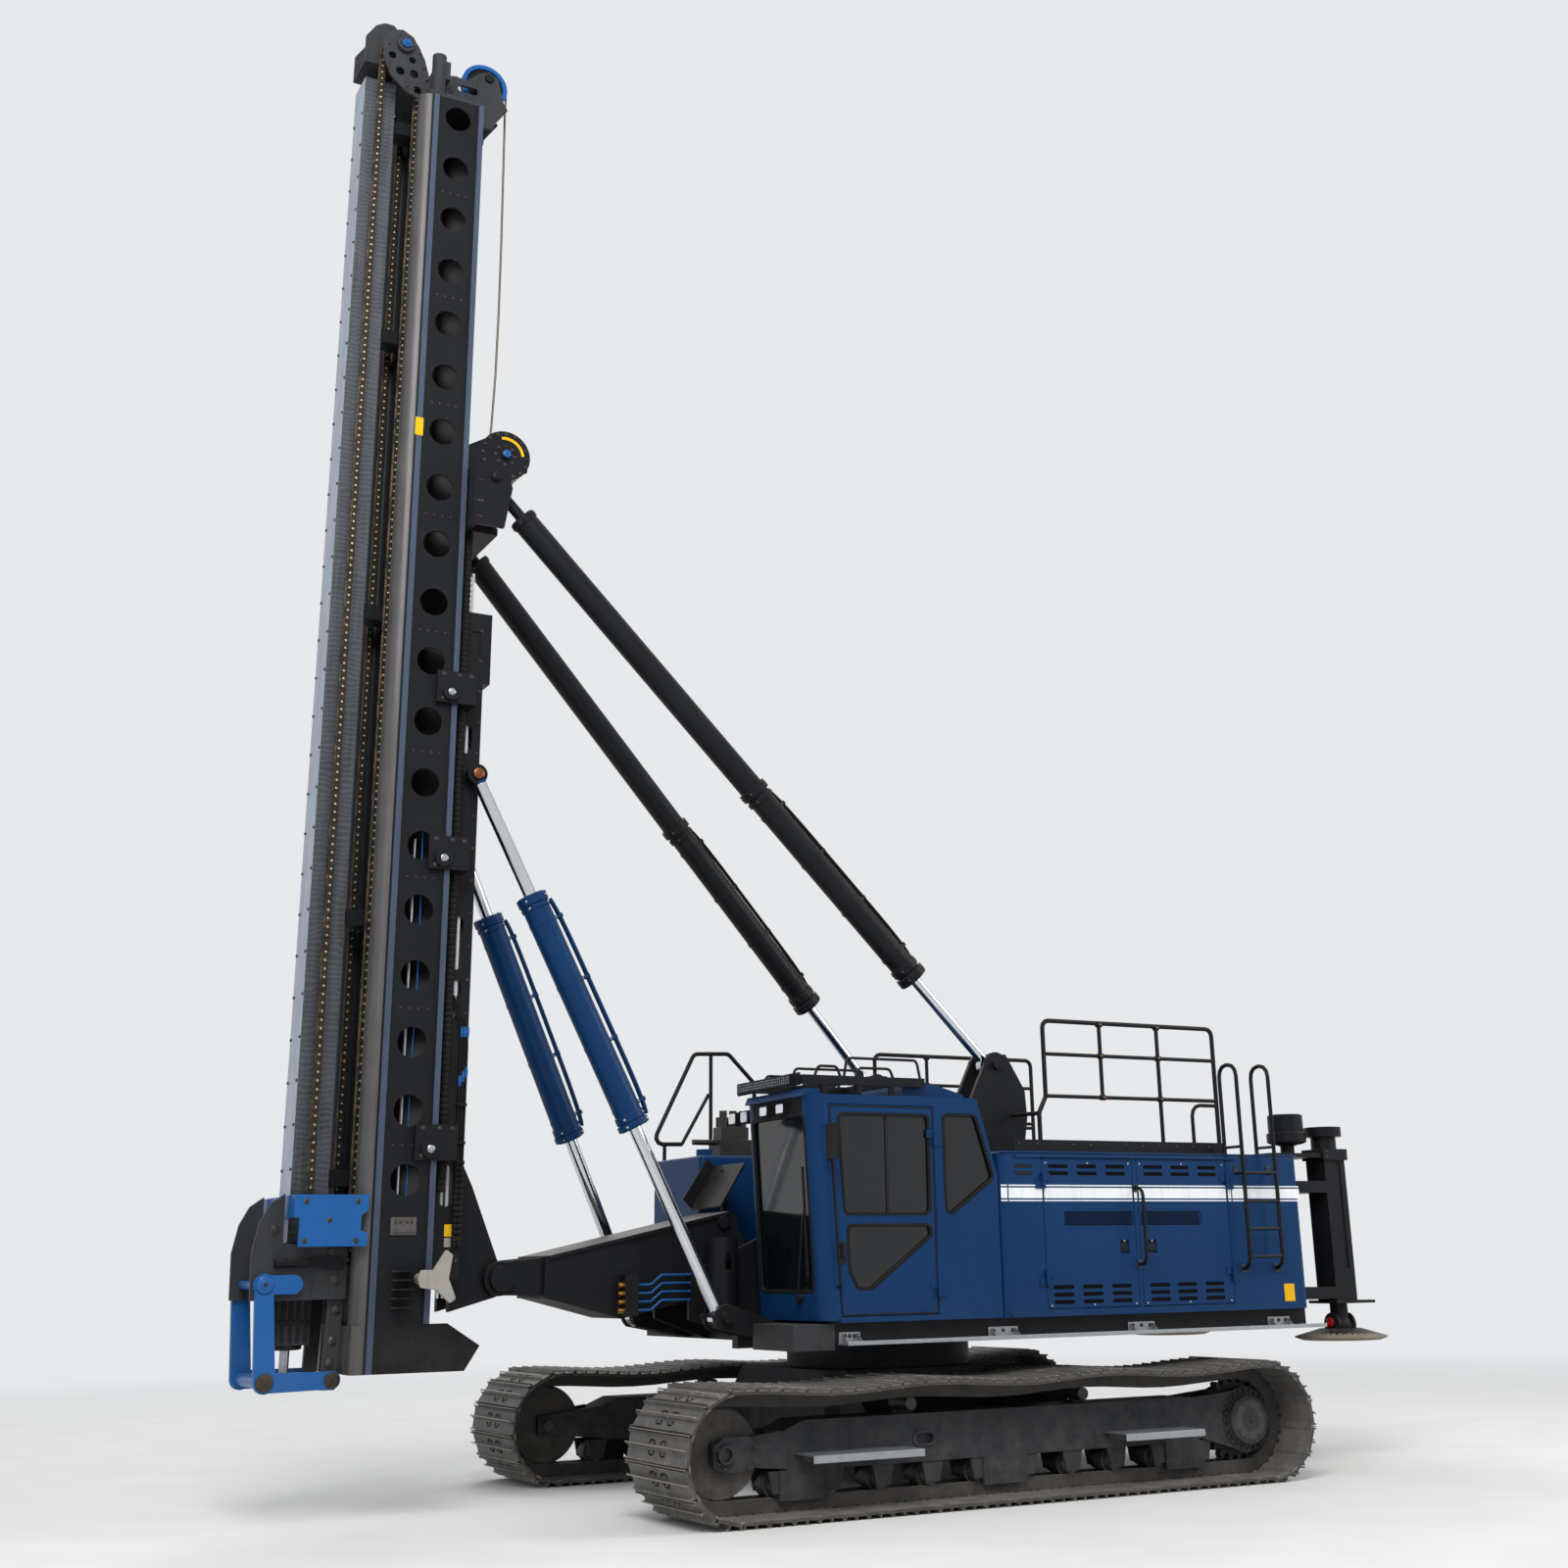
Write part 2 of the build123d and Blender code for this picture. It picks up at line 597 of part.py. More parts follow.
def door_outline(gap):
    """The door's outline, grown by a gap, with the front edge parallel to the cab's front."""
    return ((CAB_DOOR_X0 - gap, CAB_DOOR_Z0 - gap), (CAB_DOOR_X1 + gap, CAB_DOOR_Z0 - gap),
            (CAB_DOOR_X1 + gap, CAB_DOOR_Z1 + gap), (CAB_DOOR_TOP_X0 - gap, CAB_DOOR_Z1 + gap))


def inset(points):
    """The same outline with every edge moved inwards by the glass's gap."""
    shifted = []
    for i, corner in enumerate(points):
        ahead = Vector(*points[(i + 1) % len(points)]) - Vector(*corner)
        behind = Vector(*corner) - Vector(*points[i - 1])
        turn = 1 if behind.cross(ahead).Z > 0 else -1
        normals = [Vector(-v.Y, v.X, 0).normalized() * turn for v in (behind, ahead)]
        share = GLASS_GAP / (1 + normals[0].dot(normals[1]))
        shifted.append((corner[0] + (normals[0].X + normals[1].X) * share,
                        corner[1] + (normals[0].Y + normals[1].Y) * share))
    return tuple(shifted)


cab_side = ((CAB_X0, CAB_Z0), (CAB_X1, CAB_Z0), (CAB_X1, 2350), (10, CAB_Z1), (CAB_TOP_X0, CAB_Z1))
cab_room = ((CAB_X0 + CAB_WALL, CAB_Z0 + 70), (CAB_X1 - CAB_WALL, CAB_Z0 + 70), (CAB_X1 - CAB_WALL, 2330),
            (-40, CAB_Z1 - 70), (front_x(CAB_Z1 - 70) + CAB_WALL, CAB_Z1 - 70))
CAB_HINGES = (1500, 2620)
quarter = ((-313, 2800), (-5, 2800), (145, 2320), (-252, 2050), (-306, 2072))
door_high = ((-1212, 2050), (-452, 2050), (-446, 2790), (-1258, 2790))
door_low = ((-1189, 1968), (-452, 1968), (-452, 1888), (-984, 1512), (-1109, 1512), (-1176, 1640))
SCREEN_Y0 = CAB_Y0 + 125
SCREEN_Y1 = CAB_Y1 - 125
SCREEN_Z0 = 1500
SCREEN_Z1 = 2790
WINDOW_R = 45

with BuildPart() as cab:
    plate_y(cab_side, CAB_Y0, CAB_Y1)
    fillet(cab.faces().sort_by(Axis.X)[0].edges().filter_by(Axis.Y, reverse=True), 110)
    plate_y(cab_room, CAB_Y0 + CAB_WALL, CAB_Y1 - CAB_WALL, Mode.SUBTRACT)
    plate_y(door_outline(GAP), CAB_Y0 - 1, CAB_Y0 + CAB_WALL + 1, Mode.SUBTRACT)
    # windscreen, rear window, right window, roof window, left quarter window
    with BuildSketch(Plane.YZ.offset(CAB_TOP_X0 - 10)) as screen:
        with Locations(((SCREEN_Y0 + SCREEN_Y1) / 2, (SCREEN_Z0 + SCREEN_Z1) / 2)):
            RectangleRounded(SCREEN_Y1 - SCREEN_Y0, SCREEN_Z1 - SCREEN_Z0, WINDOW_R)
    extrude(screen.sketch, amount=CAB_X0 + CAB_WALL + 20 - CAB_TOP_X0, mode=Mode.SUBTRACT)
    block(CAB_X1 - CAB_WALL - 1, CAB_X1 + 1, CAB_Y0 + 250, CAB_Y1 - 250, 1900, 2260, Mode.SUBTRACT)
    rounded_y(((CAB_X0 + 220, 1700), (-150, 1700), (-150, 2650), (CAB_X0 + 160, 2650)), WINDOW_R,
              CAB_Y1 - CAB_WALL - 1, CAB_Y1 + 1, Mode.SUBTRACT)
    block(CAB_X0 + 330, -620, CAB_Y0 + 250, CAB_Y1 - 250, CAB_Z1 - 71, CAB_Z1 + 1, Mode.SUBTRACT)
    rounded_y(quarter, WINDOW_R, CAB_Y0 - 1, CAB_Y0 + CAB_WALL + 1, Mode.SUBTRACT)
    # brow over the windscreen, raised fairing at the back of the roof, lip along the foot
    plate_y(((CAB_TOP_X0 - 34, CAB_Z1 - 12), (CAB_TOP_X0 - 10, CAB_Z1 + 46), (CAB_TOP_X0 + 110, CAB_Z1 + 46),
             (CAB_TOP_X0 + 150, CAB_Z1 - 12)), CAB_Y0 + 70, CAB_Y1 - 70)
    plate_y(((-600, CAB_Z1 - 5), (-560, 3036), (-280, 3046), (-10, CAB_Z1 + 40), (5, CAB_Z1 - 5)),
            CAB_Y0 + 165, CAB_Y1 - 150)
    block(CAB_X0 + 130, CAB_X1 - 10, CAB_Y0 - 12, CAB_Y0 + 5, CAB_Z0 - 16, CAB_Z0 + 18)
    # feet on the deck
    for x in (CAB_X0 + 150, CAB_X1 - 130):
        for y in (CAB_Y0 + 140, CAB_Y1 - 130):
            disc_z(x, y, 60, DECK_Z1 + 0.3, CAB_Z0 + 5)
    for z in CAB_HINGES:
        hinge_half(CAB_DOOR_X1 + GAP / 2, CAB_Y0 - HINGE_OUT, ((z - 60, z - 1), ), HINGE_FLAP, -1, False)
        disc_z(CAB_DOOR_X1 + GAP / 2, CAB_Y0 - HINGE_OUT, PIN_R, z - 60, z + 58)
save(cab, "cab_shell")

with BuildPart() as cab_glass:
    plate_y(((front_x(CAB_Z0) + 20, CAB_Z0), (front_x(CAB_Z0) + 32, CAB_Z0), (front_x(CAB_Z1) + 32, CAB_Z1),
             (front_x(CAB_Z1) + 20, CAB_Z1)), CAB_Y0, CAB_Y1)
    with BuildSketch(Plane.YZ.offset(CAB_TOP_X0)) as pane:
        with Locations(((SCREEN_Y0 + SCREEN_Y1) / 2, (SCREEN_Z0 + SCREEN_Z1) / 2)):
            RectangleRounded(SCREEN_Y1 - SCREEN_Y0 - 2 * GLASS_GAP, SCREEN_Z1 - SCREEN_Z0 - 2 * GLASS_GAP,
                             WINDOW_R - GLASS_GAP)
    extrude(pane.sketch, amount=200, mode=Mode.INTERSECT)
    block(CAB_X1 - 32, CAB_X1 - 20, CAB_Y0 + 250.3, CAB_Y1 - 250.3, 1900.3, 2259.7)
    rounded_y(inset(((CAB_X0 + 220, 1700), (-150, 1700), (-150, 2650), (CAB_X0 + 160, 2650))), WINDOW_R,
              CAB_Y1 - 32, CAB_Y1 - 20)
    block(CAB_X0 + 330.3, -620.3, CAB_Y0 + 250.3, CAB_Y1 - 250.3, CAB_Z1 - 40, CAB_Z1 - 28)
    rounded_y(inset(quarter), WINDOW_R, CAB_Y0 + 20, CAB_Y0 + 32)
save(cab_glass, "cab_glass")

with BuildPart() as cab_door:
    plate_y(door_outline(0), CAB_Y0, CAB_Y0 + 45)
    rounded_y(door_high, WINDOW_R, CAB_Y0 - 1, CAB_Y0 + 46, Mode.SUBTRACT)
    rounded_y(door_low, WINDOW_R - 10, CAB_Y0 - 1, CAB_Y0 + 46, Mode.SUBTRACT)
    # bar between the sliding panes
    block(-838, -816, CAB_Y0 + 6, CAB_Y0 + 14.5, 2045, 2795)
    for z in CAB_HINGES:
        hinge_half(CAB_DOOR_X1 + GAP / 2, CAB_Y0 - HINGE_OUT, ((z, z + 60), ), -HINGE_FLAP, -1, True)
save(cab_door, "cab_door")

with BuildPart() as door_glass:
    rounded_y(inset(door_high), WINDOW_R, CAB_Y0 + 15, CAB_Y0 + 25)
    rounded_y(inset(door_low), WINDOW_R - 10, CAB_Y0 + 15, CAB_Y0 + 25)
save(door_glass, "cab_door_glass")

with BuildPart() as seat:
    block(-820, -300, -1330, -830, CAB_Z0 + 70.3, 1620)
    block(-860, -330, -1340, -820, 1620, 1760)
    plate_y(((-400, 1700), (-260, 1700), (-160, 2480), (-280, 2480)), -1330, -830)
    # control consoles and levers
    for y0, y1 in ((-1480, -1360), (-800, -680)):
        block(-900, -300, y0, y1, CAB_Z0 + 70.3, 1880)
        bar((-860, (y0 + y1) / 2, 1870), (-900, (y0 + y1) / 2, 2050), 18)
save(seat, "cab_seat")


# Fittings round the cab: roof guard with tube hoops, light bar, lamps, mirror, grab bar, wiper

GUARD_Z0 = 3014
GUARD_Z1 = 3084
GUARD_X0 = -1500
GUARD_X1 = -400
GUARD_Y = (-1510, -640)
LIGHT_Y0 = -1425
LIGHT_Y1 = -512

with BuildPart() as fittings:
    for y in GUARD_Y:
        block(GUARD_X0, GUARD_X1, y - 22, y + 22, GUARD_Z0, GUARD_Z1)
        for x in (-1310, -1000, -700):
            block(x - 20, x + 20, y - 20, y + 20, CAB_Z1 + 0.3, GUARD_Z0 + 5)
        # low and high hoops along the beam
        for x0, x1, top in ((-1363, -1177, 3155), (-1105, -450, 3224), (-1000, -700, 3150)):
            tube(((x0 - 20, y, GUARD_Z1 - 5), (x0 + 10, y, top), (x1 - 10, y, top), (x1 + 20, y, GUARD_Z1 - 5)),
                 11, 40)
    for x in (GUARD_X0, -1120, -680):
        block(x, x + 40, GUARD_Y[0], GUARD_Y[1], GUARD_Z0 + 8, GUARD_Z1 - 8)
    # light bar in its frame
    block(GUARD_X0 - 12, GUARD_X0 + 5, LIGHT_Y0 - 60, LIGHT_Y1 + 90, GUARD_Z0 - 6, GUARD_Z1 + 20)
    block(GUARD_X0 - 60, GUARD_X0 - 10, LIGHT_Y0, LIGHT_Y1, GUARD_Z0, GUARD_Z1 + 6)
    # lamp pair under the brow and pair beside the cab
    for y in (-1215, -935):
        block(front_x(2850) - 46, front_x(2850) - 3, y - 62, y + 62, 2806, 2888)
    block(-1376, -1336, CAB_Y1 + 0.3, -90, 2826, 2866)
    for y in (-400, -180):
        block(-1440, -1370, y - 62, y + 62, 2796, 2896)
    # mirror on its bent arm
    tube(((-1352, CAB_Y0 - 0.3, 2700), (-1352, -1790, 2700), (-1400, -1790, 2640)), 12, 30)
    block(-1412, -1388, -1880, -1720, 2440, 2697)
    # grab bar on the corner post
    tube(((-1283, CAB_Y0 - 0.3, 1530), (-1283, -1685, 1530), (-1337, -1685, 2450), (-1337, CAB_Y0 - 0.3, 2450)),
         11, 20)
    # wiper: motor, arm and blade along the windscreen
    disc_x(-1300, 1450, 34, front_x(1450) - 40, front_x(1450) - 2.3)
    bar((front_x(1450) - 30, -1300, 1450), (front_x(2050) - 34, -1462, 2050), 9)
    bar((front_x(1600) - 14, -1452, 1600), (front_x(2400) - 14, -1470, 2400), 11)
    block(front_x(2050) - 40, front_x(2050) - 10, -1478, -1452, 2040, 2060)
save(fittings, "cab_fittings")

# Platform box in front of the cab, notched for the arm of the left luffing cylinder
with BuildPart() as platform:
    for y0, y1 in ((-1585, -920), (-657, -562)):
        block(-1630, DECK_X0 - 0.3, y0, y1, 1085, CAB_Z0 - 20)
    block(-1425, -1285, -1585, DECK_Y * -1 - 0.3, 1085, CAB_Z0 - 20)
save(platform, "front_platform")

# Walkways along the deck with their brackets
with BuildPart() as walkway:
    for side in (-1, 1):
        lo, hi = sorted((side * (DECK_Y + 0.3), side * (DECK_Y + 165)))
        block(-1250, 3410, lo, hi, 1118, 1129.7)
        edge = sorted((side * (DECK_Y + 157), side * (DECK_Y + 165)))
        block(-1250, 3410, edge[0], edge[1], 1118, 1148)
        wall = sorted((side * (DECK_Y + 0.3), side * (DECK_Y + 9)))
        for x0, x1 in ((-1240, -1060), (85, 359), (1434, 1703), (2901, 3141)):
            block(x0, x1, wall[0], wall[1], 1125, 1208)
            for x in (x0 + 20, x1 - 30):
                plate_x(((side * (DECK_Y + 5), 1120), (side * (DECK_Y + 120), 1120), (side * (DECK_Y + 5), 1200)),
                        x, x + 10)
save(walkway, "walkways")

# Ladder over the roof's left edge and grab handle between the doors
with BuildPart() as ladder:
    for x in LADDER_X:
        tube(((x, -HOUSE_Y - 0.3, 1600), (x, LADDER_Y, 1600), (x, LADDER_Y, LADDER_TOP), (x, LADDER_BACK, LADDER_TOP),
              (x, LADDER_BACK, HOUSE_Z1 + 0.3)), LADDER_R, 95)
        bar((x, LADDER_BACK, 2590), (x, LADDER_Y, 2590), 12)
        bar((x, -HOUSE_Y - 0.3, 2372), (x, LADDER_Y, 2372), 12)
    for z in (1694, 1917, 2140, 2372):
        bar((LADDER_X[0], LADDER_Y, z), (LADDER_X[1], LADDER_Y, z), 13)
    tube(((GRAB_X, -HOUSE_Y - 0.3, 2250), (GRAB_X, LADDER_Y, 2250), (GRAB_X, LADDER_Y, 1650),
          (GRAB_X, -HOUSE_Y - 0.3, 1650)), 14, 70)
save(ladder, "house_ladder")

# Roof handrails with their toe boards, the same on both sides
with BuildPart() as rails:
    for side in (-1, 1):
        y = side * RAIL_SIDE_Y
        tube(((782, y, HOUSE_Z1 + 0.3), (782, y, 2856), (856, y, 2989), (856, y, RAIL_TOP), (2668, y, RAIL_TOP),
              (2668, y, HOUSE_Z1 + 0.3)), RAIL_R, 60)
        for z in (2993, 3337):
            bar((856, y, z), (2668, y, z), RAIL_R - 3)
        bar((1442, y, 2993), (1442, y, RAIL_TOP), RAIL_R - 2)
        bar((2055, y, HOUSE_Z1 + 0.3), (2055, y, RAIL_TOP), RAIL_R - 2)
        tube(((2390, y, HOUSE_Z1 + 0.3), (2390, y, 2952), (2668, y, 2952)), RAIL_R - 3, 90)
        bar((782, y, 2851), (700, side * 1135.3, 2851), RAIL_R - 2)
        # toe board with a foot at each post
        lo, hi = sorted((side * (RAIL_SIDE_Y + 30), side * (RAIL_SIDE_Y + 40)))
        block(485, 2700, lo, hi, HOUSE_Z1 + 0.3, 2636)
        for x in (782, 2055, 2390, 2668):
            foot = sorted((side * (RAIL_SIDE_Y - 45), side * (RAIL_SIDE_Y + 35)))
            block(x - 40, x + 40, foot[0], foot[1], HOUSE_Z1 + 0.3, HOUSE_Z1 + 12)
    # rail on the tank housing
    y = 1400
    tube(((-1170, y, 2745), (-1461, y, 2740), (-1053, y, 3547), (-707, y, 3559), (-440, y, 3300),
          (-440, y, TANK_Z1 + 0.3)), RAIL_R, 60)
    bar((-1170, y, 2745), (-905, y, 3190), RAIL_R - 3)
    bar((-884, y, TANK_Z1 + 0.3), (-884, y, 3553), RAIL_R - 2)
    bar((-1340, y, TANK_Z1 + 0.3), (-1340, y, 2742), RAIL_R - 2)
save(rails, "roof_handrails")

# Air pre-cleaner on the plate behind the house
with BuildPart() as cleaner:
    with BuildSketch(Plane.XZ.offset(-CLEANER_Y)) as bowl:
        Polygon((0, 2570.3), (62, 2570.3), (62, 2640), (150, 2660), (175, 2672), (175, 2750), (156, 2757),
                (156, 2905), (140, 2915), (0, 2915), align=None)
    revolve(bowl.sketch.moved(Location((CLEANER_X, 0, 0))), axis=Axis((CLEANER_X, CLEANER_Y, 0), (0, 0, 1)))
save(cleaner, "air_cleaner")

# Tank housing on the right of the deck, with the valves and the rail on its roof
with BuildPart() as tank:
    block(TANK_X0, TANK_X1, TANK_Y0, TANK_Y1, DECK_Z1 + 0.3, TANK_Z1)
    fillet(tank.edges().filter_by(Axis.Z), 50)
    fillet(tank.faces().sort_by(Axis.Z)[-1].edges(), 25)
    slots_y([(x, z) for x in (-1050, -750, -450) for z in HIGH_ROWS], LOUVRE_L, LOUVRE_H, TANK_Y1 - 16, TANK_Y1 + 1,
            Mode.SUBTRACT)
    for x in (-1250, -270):
        disc_z(x, 760, 70, TANK_Z1 - 1, TANK_Z1 + 60)
save(tank, "right_tank")

# Bent shield plate over the foot beam's root
with BuildPart() as hood:
    plate_y(((-1475, 2160), (-1250, 2510), (-1235, 2500), (-1460, 2150)), -20, 545)
    plate_y(((-1475, 2160), (-1250, 2510), (-1330, 2565), (-1555, 2235)), 533, 545)
    block(-1290, -1245, 310, 350, GIRDER_Z1 + 0.3, 2470)
save(hood, "front_hood")

# Upright pot with a slot, beside the left girder
with BuildPart() as post:
    disc_z(POST_X, POST_Y, 120, 1330, 1907)
    disc_z(POST_X, POST_Y, 104, 1350, 1908, Mode.SUBTRACT)
    block(POST_X - 60, POST_X + 60, -400, -350.3, 1450, 1620)
    slot_z0, slot_z1 = 1669, 1797
    block(POST_X - 28, POST_X + 28, POST_Y - 130, POST_Y, slot_z0, slot_z1, Mode.SUBTRACT)
save(post, "front_post")

# Valve blocks: on the tank's roof, and on the foot beam's left side with its pipes to the deck
with BuildPart() as manifold:
    block(-1080, -770, 790, 1010, TANK_Z1 + 0.3, TANK_Z1 + 150)
    block(-1060, -790, 820, 980, TANK_Z1 + 140, TANK_Z1 + 260)
    for x in (-1020, -925, -830):
        disc_z(x, 860, 34, TANK_Z1 + 250, TANK_Z1 + 400)
        disc_z(x, 950, 26, TANK_Z1 + 250, TANK_Z1 + 350)
    bar((-1060, 900, 2730), (-1295, 900, 2730), 24)
    block(-2470, -2360, -420, -BEAM_Y - 0.3, 1340, 1640)
    for i in range(4):
        z = 1380 + i * 62
        bar((-2465, -380, z), (-2515, -380, z), 20)
        tube(((-2362, -380, z), (-2240, -380, z), (-2150, -380, z + 70), (-1905, -380, z + 70)), 9, 25)
save(manifold, "valve_blocks")


# Stay bracket: cheeks and cross member on the house roof

with BuildPart() as stay_bracket:
    for side in (-1, 1):
        for inner in STAY_CHEEKS:
            y = min(side * inner, side * (inner + 40))
            rounded_y(((210, HOUSE_Z1 + 0.3), (800, HOUSE_Z1 + 0.3), (852, 2830), (838, 3060), (660, 3350),
                       (490, 3350), (300, 2980)), 12, y, y + 40)
            disc_y(STAY_FOOT[0], STAY_FOOT[2], 105, y, y + 40)
        y_pin = side * STAY_FOOT[1]
        disc_y(STAY_FOOT[0], STAY_FOOT[2], 42, y_pin - 165, y_pin + 130)
        disc_y(STAY_FOOT[0], STAY_FOOT[2], 42, y_pin - 130, y_pin + 165)
    block(230, 880, -1130, 1130, HOUSE_Z1 + 0.3, HOUSE_Z1 + 60)
    block(300, 800, -1090, 1090, HOUSE_Z1 + 50, HOUSE_Z1 + 220)
save(stay_bracket, "stay_bracket")


# Leader: rear box with lightening holes and rounded front corners, front guide column

with BuildPart() as leader:
    with BuildSketch(Plane.XY.offset(LEAD_Z0 + 330)) as section:
        Polygon((LEAD_X0, -LEAD_Y), (LEAD_X1, -LEAD_Y), (LEAD_X1, LEAD_Y), (LEAD_X0, LEAD_Y), align=None)
        for side in (-1, 1):
            with Locations((LEAD_X0, side * (LEAD_Y - NOSE_R))):
                Circle(NOSE_R)
    extrude(section.sketch, amount=LEAD_Z1 - LEAD_Z0 - 330)
    block(LEAD_X0 + 40, LEAD_X1 - 25, -LEAD_Y + 20, LEAD_Y - 20, LEAD_Z0, LEAD_Z1 + 1, Mode.SUBTRACT)
    for z in (LEAD_Z0 + 330, LEAD_Z1 - 20, 4000, 7000):
        block(LEAD_X0 + 20, LEAD_X1 - 10, -LEAD_Y + 10, LEAD_Y - 10, z, z + 20)
    # lightening holes right through both side plates
    with BuildSketch(Plane.XZ.offset(LEAD_Y + 10)) as holes:
        with Locations(*[(-4265, HOLE_Z0 + i * HOLE_STEP) for i in range(HOLES)]):
            Circle(HOLE_D / 2)
    extrude(holes.sketch, amount=-2 * LEAD_Y - 20, mode=Mode.SUBTRACT)
    # front slot
    block(LEAD_X0 - 1, LEAD_X0 + 41, -230, 230, LEAD_Z0 + 800, LEAD_Z1 - 400, Mode.SUBTRACT)
    # shelf plates on the left side near the foot
    for i in range(5):
        block(-4330, -4190, -LEAD_Y - 110, -LEAD_Y + 5, 1440 + i * 62, 1452 + i * 62)
    # three-lobed bracket on the left side
    disc_y(-4130, 1640, 38, -695, -LEAD_Y + 5)
    rounded_y(((-4200, 1640), (-4180, 1580), (-4060, 1560), (-3960, 1470), (-3915, 1500), (-3975, 1640),
               (-3950, 1800), (-4000, 1840), (-4090, 1700), (-4180, 1700)), 14, -720, -690)
save(leader, "leader_box")

with BuildPart() as leader_foot:
    for y in (-LEAD_Y, LEAD_Y - 20):
        plate_y(((-4590, LEAD_Z0), (-3760, LEAD_Z0), (-3650, LEAD_Z0 + 170), (-3900, LEAD_Z0 + 330),
                 (-4590, LEAD_Z0 + 330)), y, y + 20)
    block(-4590, -3760, -LEAD_Y, LEAD_Y, LEAD_Z0, LEAD_Z0 + 20)
    block(-4590, -4570, -LEAD_Y, LEAD_Y, LEAD_Z0, LEAD_Z0 + 330)
save(leader_foot, "leader_foot")

with BuildPart() as guide_column:
    block(GUIDE_X0, GUIDE_X1, -GUIDE_Y, GUIDE_Y, GUIDE_Z0, GUIDE_Z1)
    block(GUIDE_X0 + 16, GUIDE_X1 - 16, -GUIDE_Y + 16, GUIDE_Y - 16, GUIDE_Z0 - 1, GUIDE_Z1 + 1, Mode.SUBTRACT)
    # ties back to the box
    for z in (2300, 4250, 6750, 9250, 11300):
        block(GUIDE_X1 - 5, LEAD_X0 - 15, -90, 90, z, z + 120)
        block(LEAD_X0 - 22, LEAD_X0 - 0.3, -275, 275, z, z + 120)
save(guide_column, "guide_column")

with BuildPart() as strips:
    for side in (-1, 1):
        y = side * (LEAD_Y + 9)
        for x0, x1 in ((LEAD_X0, LEAD_X0 + 46), (LEAD_X1 - 44, LEAD_X1)):
            block(x0, x1, y - 8.7, y + 8.7, LEAD_Z0 + 330, LEAD_Z1)
save(strips, "guide_strips")


# Leader head: three cheek plates, front bosses, rear arm for the rope sheave

HEAD_Z0 = LEAD_Z1 + 0.3
leaf = ((-4935, 12030), (-4860, 12150), (-4760, 12185), (-4660, 12135), (-4550, 11940), (-4480, 11700),
        (-4470, HEAD_Z0), (-4570, HEAD_Z0), (-4700, 11565), (-4840, 11690), (-4910, 11850))
# Holes of the leaf plates: x, z, radius
LEAF_HOLES = ((-4672, 12045, 27), (-4840, 11900, 36), (-4660, 11900, 33), (-4764, 11760, 42), (-4640, 11765, 40),
              (-4600, 11610, 38))
guard = ((-5040, 11880), (-5040, 12140), (-4960, 12270), (-4880, 12320), (-4800, 12320), (-4660, 12180),
         (-4480, 11860), (-4420, HEAD_Z0), (-4560, HEAD_Z0), (-4800, 11900))
head_arm = ((-4400, 11960), (-4200, 12010), (-4100, 11990), (-3980, 12110), (-3890, 12150), (-3810, 12110),
            (-3740, 11860), (-3700, 11800), (-3826, 11611), (-3831, HEAD_Z0 + 40), (-4400, HEAD_Z0 + 40))

with BuildPart() as head:
    for y in (-355, 330):
        rounded_y(leaf, 25, y, y + 25)
    for y in (-190, 165):
        plate_y(guard, y, y + 25)
    block(-5040, -4805, -190, 190, 11880, 11900)
    block(-4530, -4050, -LEAD_Y, LEAD_Y, HEAD_Z0, HEAD_Z0 + 40)
    # upright knuckles, and the arm they carry
    for side in (-1, 1):
        disc_z(-4430, side * 400, 62, HEAD_Z0 + 20, 11980)
        disc_z(-4230, side * 300, 45, HEAD_Z0 + 20, 11670)
        lo, hi = sorted((side * 120, side * 420))
        block(-4440, -4330, lo, hi, 11760, 11940)
    for y in (-150, 120):
        plate_y(head_arm, y, y + 30)
    slots_y(((-4080, 11900), ), 190, 70, -155, 155, Mode.SUBTRACT)
    with BuildSketch(Plane.XZ.offset(400)) as holes:
        for x, z, r in LEAF_HOLES:
            with Locations((x, z)):
                Circle(r)
    extrude(holes.sketch, amount=-100, mode=Mode.SUBTRACT)
    with BuildSketch(Plane.XZ.offset(-320)) as holes:
        for x, z, r in LEAF_HOLES:
            with Locations((x, z)):
                Circle(r)
    extrude(holes.sketch, amount=-100, mode=Mode.SUBTRACT)
    disc_y(SPROCKET_X, SPROCKET_TOP, 40.3, -LEAD_Y - 1, LEAD_Y + 1, Mode.SUBTRACT)
    disc_y(SHEAVE_X, SHEAVE_Z, 40.3, -151, 151, Mode.SUBTRACT)
save(head, "leader_head")

with BuildPart() as sprocket:
    for y in (-CHAIN_Y - CHAIN_W / 2, CHAIN_Y - CHAIN_W / 2):
        disc_y(SPROCKET_X, SPROCKET_TOP, CHAIN_R - 22.3, y, y + CHAIN_W)
    disc_y(SPROCKET_X, SPROCKET_TOP, 40, -385, 385)
    for y in (-400, 370):
        disc_y(SPROCKET_X, SPROCKET_TOP, 72, y, y + 30)
save(sprocket, "head_sprockets")

